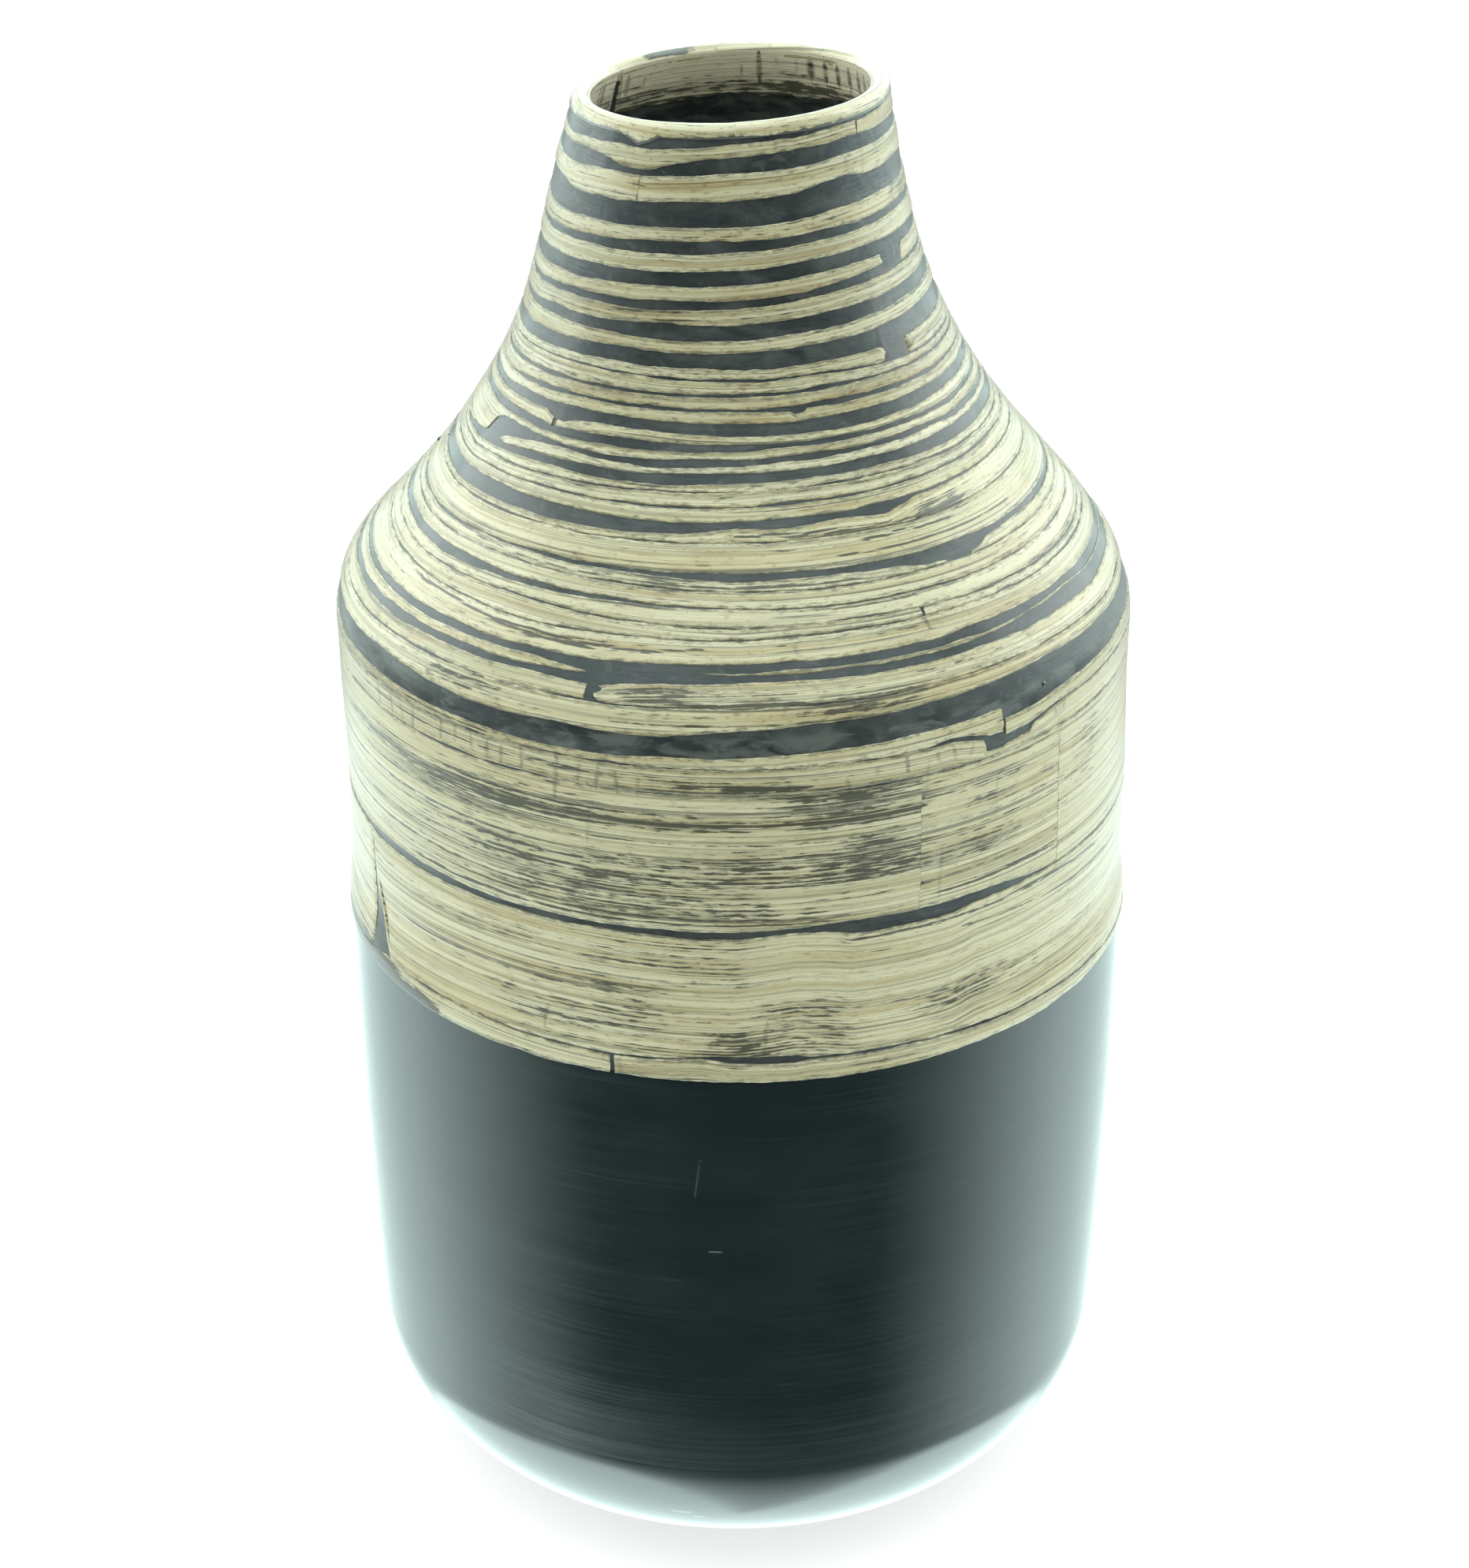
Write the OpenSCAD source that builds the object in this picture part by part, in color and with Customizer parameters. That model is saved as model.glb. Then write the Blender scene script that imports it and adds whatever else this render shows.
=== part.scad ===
// Wound bamboo vase: a black lacquered bowl, a lacquered shoulder and neck, and
// pale bamboo strips wound round the shoulder and neck with black gaps between them.
// The origin is at the middle of the base. Azimuth 0 is the front, at -Y, and grows to +X.

/* [Black body] */
// Height of the whole vase
vase_h = 402; // [390:1:430]
// Radius of the black body where it is widest
body_r = 108; // [104:1:112]
// Height at which the black body is widest
bulge_h = 160; // [145:1:168]
// Radius of the long curve of the black wall, seen from the side
wall_arc_r = 2500; // [2200:10:3000]
// Radius of the rounded corner between foot and wall
corner_r = 42; // [34:1:50]
// Height of the line where the black wall ends and the bamboo starts
lacquer_h = 170; // [169:1:180]
// Thickness of the wound core of the wall
wall_t = 2.4; // [2:0.1:3]

/* [Shoulder and neck] */
// How far the core steps in, under the belly strips, from the black body
belly_inset = 1.8; // [1:0.1:2.4]
// Height over which the core steps in
inset_h = 20; // [14:1:26]
// Height of the bamboo belly between the lacquer line and the turn of the shoulder
belly_h = 87; // [78:1:92]
// Radius of the turn at the shoulder
shoulder_r = 27; // [20:1:34]
// Share of the way up from the turn of the shoulder to the lip where the lines of slope and neck cross
crossing_share = 0.45; // [0.42:0.001:0.48]
// Share of the slope that is straight, before the hollow curve starts
straight_share = 0.33; // [0.2:0.01:0.45]
// Radius of the core at the lip
mouth_r = 38.2; // [36:0.1:42]
// Slope of the neck, from upright, in degrees
neck_a = 13; // [11:1:15]

/* [Bamboo strips] */
// Thickness of the bamboo strips
strip_t = 1.2; // [0.8:0.1:1.6]
// Gap where the two ends of a strip meet
joint_gap = 0.8; // [0.4:0.1:2]
// Gap between neighbouring belly panels
seam_gap = 0.3; // [0.2:0.1:0.8]

/* [Rim and lining] */
// Height of the rim ring above the end of the neck
rim_h = 4; // [3.4:0.1:6]
// Height of the bamboo strip that lines the mouth
lining_h = 15; // [10:1:20]
// Thickness of the lining strip
lining_t = 1; // [0.6:0.1:1.4]

/* [Base] */
// Width of the flat foot, round the hole that the base disc fills
foot_w = 11; // [7:1:18]
// Thickness of the base disc above the foot
disc_t = 5; // [3:0.5:8]
// Width of foot left bare round the flange of the base disc
disc_edge = 1; // [0.5:0.1:3]

/* [Glued joints] */
// Height of the lap between the black bowl and the shoulder
lap_h = 12; // [8:1:16]
// Height of the lap between the shoulder and the neck
neck_lap_h = 2; // [1.5:0.1:2.5]
// How far the lap of the neck lies below the end of the hollow curve
neck_lap_drop = 8; // [4:1:14]
// Room for glue in the laps, behind the lining and round the base disc
glue_gap = 0.1; // [0.05:0.01:0.2]

/* [Hidden] */
$fn = 120;
// Overrun of cutting shapes past what they cut
over = 10;

// Steps in which each curve of the outline is drawn
corner_steps = 14;
wall_steps = 6;
inset_steps = 5;
shoulder_steps = 8;
throat_steps = 12;

// One strip a row: upper edge and lower edge as shares of the way down the wound wall, from the
// rim ring to the lacquer line, then its rise to the right and the azimuth of its joint, in degrees
neck_strip_shares = [
    [0.014, 0.028, 3.0, 48],
    [0.041, 0.065, 3.4, -32],
    [0.091, 0.105, 3.6, 118],
    [0.115, 0.134, 3.5, -118],
    [0.148, 0.164, 3.3, 57],
    [0.171, 0.189, 3.0, 160],
    [0.204, 0.218, 2.5, -140],
    [0.231, 0.242, 1.7, 48],
    [0.243, 0.258, 1.7, 170],
    [0.259, 0.272, 1.7, -100],
    [0.275, 0.286, 1.6, 15]
];
shoulder_strip_shares = [
    [0.299, 0.308, 1.4, -46],
    [0.316, 0.324, 1.4, 130],
    [0.331, 0.338, 1.4, -64],
    [0.347, 0.355, 1.5, 100],
    [0.356, 0.372, 1.5, -150],
    [0.373, 0.386, 1.5, 180],
    [0.395, 0.407, 1.2, -90],
    [0.408, 0.441, 1.2, 140],
    [0.450, 0.459, 0.9, 45],
    [0.460, 0.477, 0.9, -110],
    [0.478, 0.498, 0.9, 95],
    [0.499, 0.510, 0.9, 30],
    [0.511, 0.534, 0.9, -170],
    [0.542, 0.546, 1.0, -12],
    [0.556, 0.579, 0.9, -20],
    [0.580, 0.595, 0.9, 110]
];
belly_strip_shares = [
    [0.627, 0.638, 0.5, 39],
    [0.639, 0.666, 0.5, -130],
    [0.975, 1.000, 0.0, -17]
];
// Wide panels in the same order of shares and rise, then the azimuths at which each starts and ends
belly_panel_shares = [
    [0.667, 0.823, 0.4, -160, 26],
    [0.667, 0.823, 0.4, 26, 51],
    [0.667, 0.823, 0.4, 51, 200],
    [0.832, 0.974, 0.0, -64, 110],
    [0.832, 0.974, 0.0, 110, 296]
];

belly_r = body_r - belly_inset;
rim_seat_h = vase_h - rim_h;
lip_r = (wall_t + strip_t + lining_t) / 2;
reach = body_r + over;

// The corner curve touches the long wall curve from inside, and the ground at height 0
corner_x = body_r - wall_arc_r
    + sqrt(pow(wall_arc_r - corner_r, 2) - pow(bulge_h - corner_r, 2));
corner_end_a = -asin((bulge_h - corner_r) / (wall_arc_r - corner_r));
wall_end_a = asin((lacquer_h - bulge_h) / wall_arc_r);
foot_hole_r = corner_x - foot_w;

// The slope runs from the turn of the shoulder towards the point where it would cross the neck
shoulder_h = lacquer_h + belly_h;
cross_h = shoulder_h + crossing_share * (vase_h - shoulder_h);
crossing = [mouth_r + (vase_h - cross_h) * tan(neck_a), cross_h];
shoulder_c = [belly_r - shoulder_r, shoulder_h];
to_crossing = crossing - shoulder_c;
shoulder_a = atan2(to_crossing[1], to_crossing[0]) - acos(shoulder_r / norm(to_crossing));

// Where the straight slope of the shoulder starts and ends, and where the neck starts
slope_start = shoulder_c + shoulder_r * [cos(shoulder_a), sin(shoulder_a)];
slope_end = slope_start + straight_share * (crossing - slope_start);
throat_r = norm(crossing - slope_end) / tan((shoulder_a - neck_a) / 2);
throat_c = slope_end + throat_r * [cos(shoulder_a), sin(shoulder_a)];
neck_start = throat_c - throat_r * [cos(neck_a), sin(neck_a)];

// A point of an outline is [radius, height, slope], and its slope is the angle of its outward normal
function arc_points(c, r, from_a, to_a, steps) = [
    for (i = [0 : steps])
        let (a = from_a + (to_a - from_a) * i / steps)
        [c[0] + r * cos(a), c[1] + r * sin(a), a]
];
function inset_point(t) = [
    belly_r + (wall_end_r - belly_r) * (1 + cos(180 * t)) / 2,
    lacquer_h + inset_h * t,
    atan((wall_end_r - belly_r) * sin(180 * t) * PI / 2 / inset_h)
];
wall_end_r = body_r - wall_arc_r * (1 - cos(wall_end_a));

foot_line = arc_points([corner_x, corner_r], corner_r, -90, corner_end_a, corner_steps);
wall_line = arc_points([body_r - wall_arc_r, bulge_h], wall_arc_r, corner_end_a, wall_end_a, wall_steps);
inset_line = [for (i = [0 : inset_steps]) inset_point(i / inset_steps)];
shoulder_line = arc_points(shoulder_c, shoulder_r, 0, shoulder_a, shoulder_steps);
throat_line = arc_points(throat_c, -throat_r, shoulder_a, neck_a, throat_steps);
seat_point = [mouth_r + rim_h * tan(neck_a), rim_seat_h, neck_a];
neck_line = [seat_point, [mouth_r, vase_h, neck_a]];

function but_first(line) = [for (i = [1 : len(line) - 1]) line[i]];
bowl_line = concat(foot_line, but_first(wall_line));
wound_line = concat(inset_line, shoulder_line, throat_line, neck_line);
outline = concat(bowl_line, but_first(wound_line));

// The outline set outwards by a distance, and the same as a closed band between two distances
function set_out(line, d) = [for (p = line) [p[0] + d * cos(p[2]), p[1] + d * sin(p[2])]];
function backwards(line) = [for (i = [len(line) - 1 : -1 : 0]) line[i]];
function band(line, d_in, d_out) = concat(set_out(line, d_out), backwards(set_out(line, d_in)));

// Way down the wound wall from the rim ring, and the height on the core that each way leads to
down_line = but_first(backwards(wound_line));
function step_of(line, i) = norm([line[i][0] - line[i - 1][0], line[i][1] - line[i - 1][1]]);
way_table = [
    for (i = 0, s = 0; i < len(down_line); i = i + 1, s = i < len(down_line) ? s + step_of(down_line, i) : s)
        [s, down_line[i][1]]
];
wound_l = way_table[len(way_table) - 1][0];
function height_at(share) = lookup(share * wound_l, way_table);
radius_table = [for (p = outline) [p[1], p[0]]];
function core_r(z) = lookup(z, radius_table);

neck_lap_z = neck_start[1] - neck_lap_drop;
lap_z = lacquer_h - lap_h;
lap_r = wall_end_r - wall_t / 2;
neck_lap_r = core_r(neck_lap_z) - wall_t / 2;

neck_count = len(neck_strip_shares);
shoulder_count = len(shoulder_strip_shares);
belly_count = len(belly_strip_shares);
panel_count = len(belly_panel_shares);
function numbered(name, i) = str(name, i < 9 ? "_0" : "_", i + 1);

// A step of the region that one shell takes from the wall: radii and heights of a rectangle
module region(r_from, r_to, z_from, z_to) {
    translate([r_from, z_from]) square([r_to - r_from, z_to - z_from]);
}

// The whole wall of the core in section, with the flat foot turned in under it
module wall_section() {
    polygon(concat(
        [[foot_hole_r, 0]],
        band(outline, -wall_t, 0),
        [[foot_hole_r, wall_t]]
    ));
}

module base_disc() {
    color("#3a3530") {
        cylinder(h = wall_t, r = foot_hole_r - glue_gap);
        translate([0, 0, wall_t]) cylinder(h = disc_t, r = corner_x - disc_edge);
    }
}

module lower_shell() {
    color("#1d1e1f") rotate_extrude() intersection() {
        wall_section();
        union() {
            region(0, reach, 0, lap_z);
            region(lap_r, reach, lap_z, lacquer_h);
        }
    }
}

module shoulder_shell() {
    color("#2f3130") rotate_extrude() intersection() {
        wall_section();
        union() {
            region(0, lap_r - glue_gap, lap_z, lacquer_h);
            region(0, reach, lacquer_h, neck_lap_z);
            region(0, neck_lap_r, neck_lap_z, neck_lap_z + neck_lap_h);
        }
    }
}

module neck_shell() {
    color("#2f3130") rotate_extrude() intersection() {
        wall_section();
        union() {
            region(neck_lap_r + glue_gap, reach, neck_lap_z, neck_lap_z + neck_lap_h);
            region(0, reach, neck_lap_z + neck_lap_h, rim_seat_h);
        }
    }
}

// The rim is as thick as neck, strip and lining together, and ends in a full round
module rim_ring() {
    normal = [cos(neck_a), sin(neck_a)];
    lining_face_t = wall_t + lining_t;
    round_z = vase_h - lip_r;
    round_c = [core_r(round_z) + (strip_t - lining_face_t) / 2 / cos(neck_a), round_z];
    color("#d8cfa4") rotate_extrude() intersection() {
        union() {
            polygon([
                [core_r(rim_seat_h) - lining_face_t / cos(neck_a), rim_seat_h],
                [core_r(rim_seat_h) + strip_t / cos(neck_a), rim_seat_h],
                round_c + lip_r * normal,
                round_c - lip_r * normal
            ]);
            translate(round_c) circle(r = lip_r);
        }
        region(0, reach, rim_seat_h, vase_h + over);
    }
}

module mouth_lining() {
    color("#cdc498") rotate_extrude() intersection() {
        polygon(band(outline, -wall_t - lining_t, -wall_t - glue_gap));
        region(0, reach, rim_seat_h - lining_h, rim_seat_h);
    }
}

// A stretch of the skin over the core, from one azimuth to another, cut between two heights
// by planes that rise to the right
module skin(share_top, share_end, rise_a, from_az, to_az) {
    z_top = height_at(share_top);
    z_end = height_at(share_end);
    swing = core_r(z_end) * tan(rise_a) + over;
    near = [
        for (i = [0 : len(wound_line) - 1])
            let (below = wound_line[max(i - 1, 0)][1], above = wound_line[min(i + 1, len(wound_line) - 1)][1])
            if (above > z_end - swing && below < z_top + swing) wound_line[i]
    ];
    intersection() {
        rotate([0, 0, from_az - 90]) rotate_extrude(angle = to_az - from_az) intersection() {
            polygon(band(near, 0, strip_t));
            region(0, reach, lacquer_h, rim_seat_h);
        }
        translate([0, 0, (z_top + z_end) / 2])
            rotate([0, -rise_a, 0])
                cylinder(h = z_top - z_end, r = reach, center = true);
    }
}

// A strip goes once round and stops short of itself at its joint
module wound_strip(row, colour) {
    half_gap_a = joint_gap / core_r(height_at(row[1])) * 90 / PI;
    color(colour) skin(row[0], row[1], row[2], row[3] + half_gap_a, row[3] + 360 - half_gap_a);
}

module panel(row, colour) {
    half_gap_a = seam_gap / belly_r * 90 / PI;
    color(colour) skin(row[0], row[1], row[2], row[3] + half_gap_a, row[4] - half_gap_a);
}

base_disc();
lower_shell();
shoulder_shell();
neck_shell();
rim_ring();
mouth_lining();
for (i = [0 : neck_count - 1]) {
    wound_strip(neck_strip_shares[i], "#d6cc9f");
}
for (i = [0 : shoulder_count - 1]) {
    wound_strip(shoulder_strip_shares[i], "#cfc698");
}
for (i = [0 : belly_count - 1]) {
    wound_strip(belly_strip_shares[i], "#cbc196");
}
for (i = [0 : panel_count - 1]) {
    panel(belly_panel_shares[i], "#d2c99c");
}
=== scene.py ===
import math

import bpy
import numpy as np
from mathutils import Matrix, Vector


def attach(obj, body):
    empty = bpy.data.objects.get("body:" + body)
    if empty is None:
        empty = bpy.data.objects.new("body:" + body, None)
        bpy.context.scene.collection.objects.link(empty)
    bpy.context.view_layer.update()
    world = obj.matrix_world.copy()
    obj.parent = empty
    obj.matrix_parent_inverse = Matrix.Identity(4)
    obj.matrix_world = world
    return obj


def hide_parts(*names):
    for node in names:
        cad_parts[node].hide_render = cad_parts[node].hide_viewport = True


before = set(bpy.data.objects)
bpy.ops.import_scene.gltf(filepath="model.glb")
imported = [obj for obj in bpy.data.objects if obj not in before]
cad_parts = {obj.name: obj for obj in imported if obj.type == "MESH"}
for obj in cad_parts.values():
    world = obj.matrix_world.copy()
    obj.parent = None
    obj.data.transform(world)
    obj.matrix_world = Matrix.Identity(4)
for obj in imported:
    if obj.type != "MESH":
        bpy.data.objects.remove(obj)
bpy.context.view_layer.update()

# Sizes of the vase in millimetres, the same as in the part's source
VASE_H = 402.0
BODY_R = 108.0
BULGE_H = 160.0
WALL_ARC_R = 2500.0
CORNER_R = 42.0
LACQUER_H = 170.0
WALL_T = 2.4
BELLY_R = 106.2
INSET_H = 20.0
SHOULDER_H = 257.0
SHOULDER_R = 27.0
CROSSING_SHARE = 0.45
STRAIGHT_SHARE = 0.33
MOUTH_R = 38.2
NECK_A = math.radians(13)
STRIP_T = 1.2
LINING_T = 1.0
FOOT_W = 11.0
MM = 0.001

# Depths over the core: the lacquer ground, and the outer face and the underside of the strips
GROUND_D = 0.78
STRIP_D = 1.12
UNDER_D = 0.3

# Strip edges are read down the wall from the lip, in units of 1.03 mm, with the lip at 6.5
READ_UNIT = 1.03
READ_LIP = 6.5

# The lip rises to the right, and a little to the front
LIP_H = 399.9
LIP_RISE = 1.85
LIP_FRONT_RISE = 0.7
LIP_R = 2.3

# How much fuller the shoulder is than the solids, and where down the wall that starts and ends
SWELL = 1.5
SWELL_FROM = 54.0
SWELL_TO = 172.0

# How far the wall stands off its axis to the right, at each height, as in the hand-made vase
OFFSETS = [
    (0, 0.3), (150, 0.2), (176, 0.2), (215, 0.2), (240, -0.6), (268, -0.8), (278, 0.2), (287, 1.2),
    (300, 1.1), (316, 0.0), (331, -0.5), (346, -1.3), (361, -2.0), (380, -2.0), (390, -1.5), (402, -0.8),
]

# Points of the outline that the other sizes lead to
CORNER_X = BODY_R - WALL_ARC_R + math.sqrt((WALL_ARC_R - CORNER_R) ** 2 - (BULGE_H - CORNER_R) ** 2)
WALL_END_R = BODY_R - WALL_ARC_R * (1 - math.cos(math.asin((LACQUER_H - BULGE_H) / WALL_ARC_R)))
CROSS_H = SHOULDER_H + CROSSING_SHARE * (VASE_H - SHOULDER_H)
CROSSING = np.array([MOUTH_R + (VASE_H - CROSS_H) * math.tan(NECK_A), CROSS_H])
TURN_C = np.array([BELLY_R - SHOULDER_R, SHOULDER_H])
TO_CROSSING = CROSSING - TURN_C
SLOPE_A = math.atan2(TO_CROSSING[1], TO_CROSSING[0]) - math.acos(SHOULDER_R / np.hypot(*TO_CROSSING))
SLOPE_START = TURN_C + SHOULDER_R * np.array([math.cos(SLOPE_A), math.sin(SLOPE_A)])
SLOPE_END = SLOPE_START + STRAIGHT_SHARE * (CROSSING - SLOPE_START)
THROAT_R = np.hypot(*(CROSSING - SLOPE_END)) / math.tan((SLOPE_A - NECK_A) / 2)
THROAT_C = SLOPE_END + THROAT_R * np.array([math.cos(SLOPE_A), math.sin(SLOPE_A)])
NECK_START = THROAT_C - THROAT_R * np.array([math.cos(NECK_A), math.sin(NECK_A)])

# Lengths of the stretches of the wound wall, from the lip down
NECK_L = (VASE_H - NECK_START[1]) / math.cos(NECK_A)
THROAT_L = THROAT_R * (SLOPE_A - NECK_A)
SLOPE_L = np.hypot(*(SLOPE_END - SLOPE_START))
TURN_L = SHOULDER_R * SLOPE_A
BELLY_L = SHOULDER_H - LACQUER_H - INSET_H
STRETCH_ENDS = np.cumsum([NECK_L, THROAT_L, SLOPE_L, TURN_L, BELLY_L, INSET_H])
WOUND_L = STRETCH_ENDS[-1]

# Sizes of the tables of random numbers behind wave and field
WAVE_TABLE = 1024
FIELD_TABLE = 256

# Faces that meet at more than this angle keep a sharp edge
SHARP_A = math.radians(40)


def way_of(read):
    """Millimetres down the wall from the lip, for a reading."""
    return READ_UNIT * (np.asarray(read, float) - READ_LIP)


def wall(way):
    """Radius, height and outward normal of the core at each way down the wall."""
    way = np.asarray(way, float)
    e = STRETCH_ENDS
    throat_a = NECK_A + (way - e[0]) / THROAT_R
    turn_a = SLOPE_A - (way - e[2]) / SHOULDER_R
    inset_t = np.clip((way - e[4]) / INSET_H, 0, 1.5)
    inset_turn = np.pi * np.clip(inset_t, 0, 1)
    inset_r = BELLY_R + (WALL_END_R - BELLY_R) * (1 - np.cos(inset_turn)) / 2
    inset_a = np.arctan((WALL_END_R - BELLY_R) * np.sin(inset_turn) * np.pi / 2 / INSET_H)
    here = [way < e[0], way < e[1], way < e[2], way < e[3], way < e[4]]
    r = np.select(here, [
        MOUTH_R + way * math.sin(NECK_A),
        THROAT_C[0] - THROAT_R * np.cos(throat_a),
        SLOPE_END[0] + (way - e[1]) * math.sin(SLOPE_A),
        TURN_C[0] + SHOULDER_R * np.cos(turn_a),
        np.full_like(way, BELLY_R),
    ], inset_r)
    z = np.select(here, [
        VASE_H - way * math.cos(NECK_A),
        THROAT_C[1] - THROAT_R * np.sin(throat_a),
        SLOPE_END[1] - (way - e[1]) * math.cos(SLOPE_A),
        TURN_C[1] + SHOULDER_R * np.sin(turn_a),
        SHOULDER_H - (way - e[3]),
    ], LACQUER_H + INSET_H * (1 - inset_t))
    a = np.select(here, [
        np.full_like(way, NECK_A), throat_a, np.full_like(way, SLOPE_A), turn_a, np.zeros_like(way),
    ], inset_a)
    swell = SWELL * np.sin(np.pi * np.clip((way - SWELL_FROM) / (SWELL_TO - SWELL_FROM), 0, 1)) ** 2
    return r + swell * np.cos(a), z + swell * np.sin(a), np.cos(a), np.sin(a)


def offset_at(z):
    heights, offsets = zip(*OFFSETS)
    return np.interp(z, heights, offsets)


def at(az, r, z):
    """Points in metres from azimuth in degrees, radius and height. Azimuth 0 is the front."""
    a = np.radians(az)
    r = r + offset_at(z) * np.sin(a)
    return np.stack([r * np.sin(a), -r * np.cos(a), z * np.ones_like(r)], -1) * MM


def on_wall(az, way, depth):
    """Points in metres on the wound wall, a depth over the core."""
    r, z, nr, nz = wall(way)
    return at(az, r + depth * nr, z + depth * nz)


def neck_core(z):
    """Radius of the core at heights on the straight neck."""
    return MOUTH_R + (VASE_H - z) * math.tan(NECK_A)


def lip_top(az):
    """Height of the tilted lip's highest point."""
    return LIP_H + LIP_RISE * np.sin(np.radians(az)) + LIP_FRONT_RISE * np.cos(np.radians(az))


def ease(share):
    """A share from 0 to 1 that starts and ends slowly."""
    return share * share * (3 - 2 * share)


def wave(x, seed, length, size):
    """A smooth random line: about size high, with bumps about length apart."""
    table = np.random.RandomState(seed).uniform(-1, 1, WAVE_TABLE)
    t = np.asarray(x, float) / length + (WAVE_TABLE + 1) / 2
    i = np.floor(t).astype(int)
    f = ease(t - i)
    return size * (table[i % WAVE_TABLE] * (1 - f) + table[(i + 1) % WAVE_TABLE] * f)


def field(x, y, seed, size):
    """A smooth random surface over x and y, from -size to size, with bumps about 1 apart."""
    table = np.random.RandomState(seed).uniform(-1, 1, (FIELD_TABLE, FIELD_TABLE))
    i = np.floor(x).astype(int)
    j = np.floor(y).astype(int)
    f = ease(x - i)
    g = ease(y - j)
    i0, i1 = i % FIELD_TABLE, (i + 1) % FIELD_TABLE
    j0, j1 = j % FIELD_TABLE, (j + 1) % FIELD_TABLE
    low = table[i0, j0] * (1 - f) + table[i1, j0] * f
    high = table[i0, j1] * (1 - f) + table[i1, j1] * f
    return size * (low * (1 - g) + high * g)


def soft_box(x, low, high, soft):
    """1 between low and high, falling to 0 over soft on either side."""
    return np.clip((x - low) / soft + 1, 0, 1) * np.clip((high - x) / soft + 1, 0, 1)


def wrap_of(along, across, strip):
    """Where each point lies on its strip: mm along it, mm across it, and a number of the strip's own."""
    return np.stack([np.broadcast_to(along, across.shape), across, np.full_like(across, strip)], -1)


def mesh_piece(name, points, faces, material, **attributes):
    """A mesh object from points in metres and lists of corners, smooth but for its sharp edges."""
    mesh = bpy.data.meshes.new(name)
    mesh.from_pydata(points.reshape(-1, 3).tolist(), [], faces)
    mesh.update()
    for key, values in attributes.items():
        vector = values.ndim == 3
        layer = mesh.attributes.new(key, "FLOAT_VECTOR" if vector else "FLOAT", "POINT")
        layer.data.foreach_set("vector" if vector else "value", values.astype(np.float32).ravel())
    mesh.polygons.foreach_set("use_smooth", np.ones(len(mesh.polygons), bool))
    mesh.set_sharp_from_angle(angle=SHARP_A)
    mesh.materials.append(material)
    piece = bpy.data.objects.new(name, mesh)
    bpy.context.scene.collection.objects.link(piece)
    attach(piece, "root")
    return piece


def stand_for(node):
    """Hides the solid that a piece stands for."""
    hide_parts(node)


def tube_faces(columns, loop, closed):
    """Quads over a grid of columns, each a closed loop of points, with caps on the ends unless it closes."""
    here = np.arange(columns if closed else columns - 1)
    there = (here + 1) % columns
    k = np.arange(loop)
    k1 = (k + 1) % loop
    corners = [here[:, None] * loop + k, there[:, None] * loop + k,
               there[:, None] * loop + k1, here[:, None] * loop + k1]
    faces = np.stack(corners, -1).reshape(-1, 4).tolist()
    if not closed:
        faces.append(list(range(loop)))
        faces.append([(columns - 1) * loop + i for i in reversed(range(loop))])
    return faces


def flipped(faces):
    """The same faces, seen from the other side."""
    return [face[::-1] for face in faces]


def linear(v):
    """The linear value of a written one from 0 to 255."""
    v = v / 255
    return v / 12.92 if v <= 0.04045 else ((v + 0.055) / 1.055) ** 2.4


def srgb(r, g, b):
    """A colour written as it shows, from 0 to 255, as the linear colour of a shader."""
    return (linear(r), linear(g), linear(b), 1.0)


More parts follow.
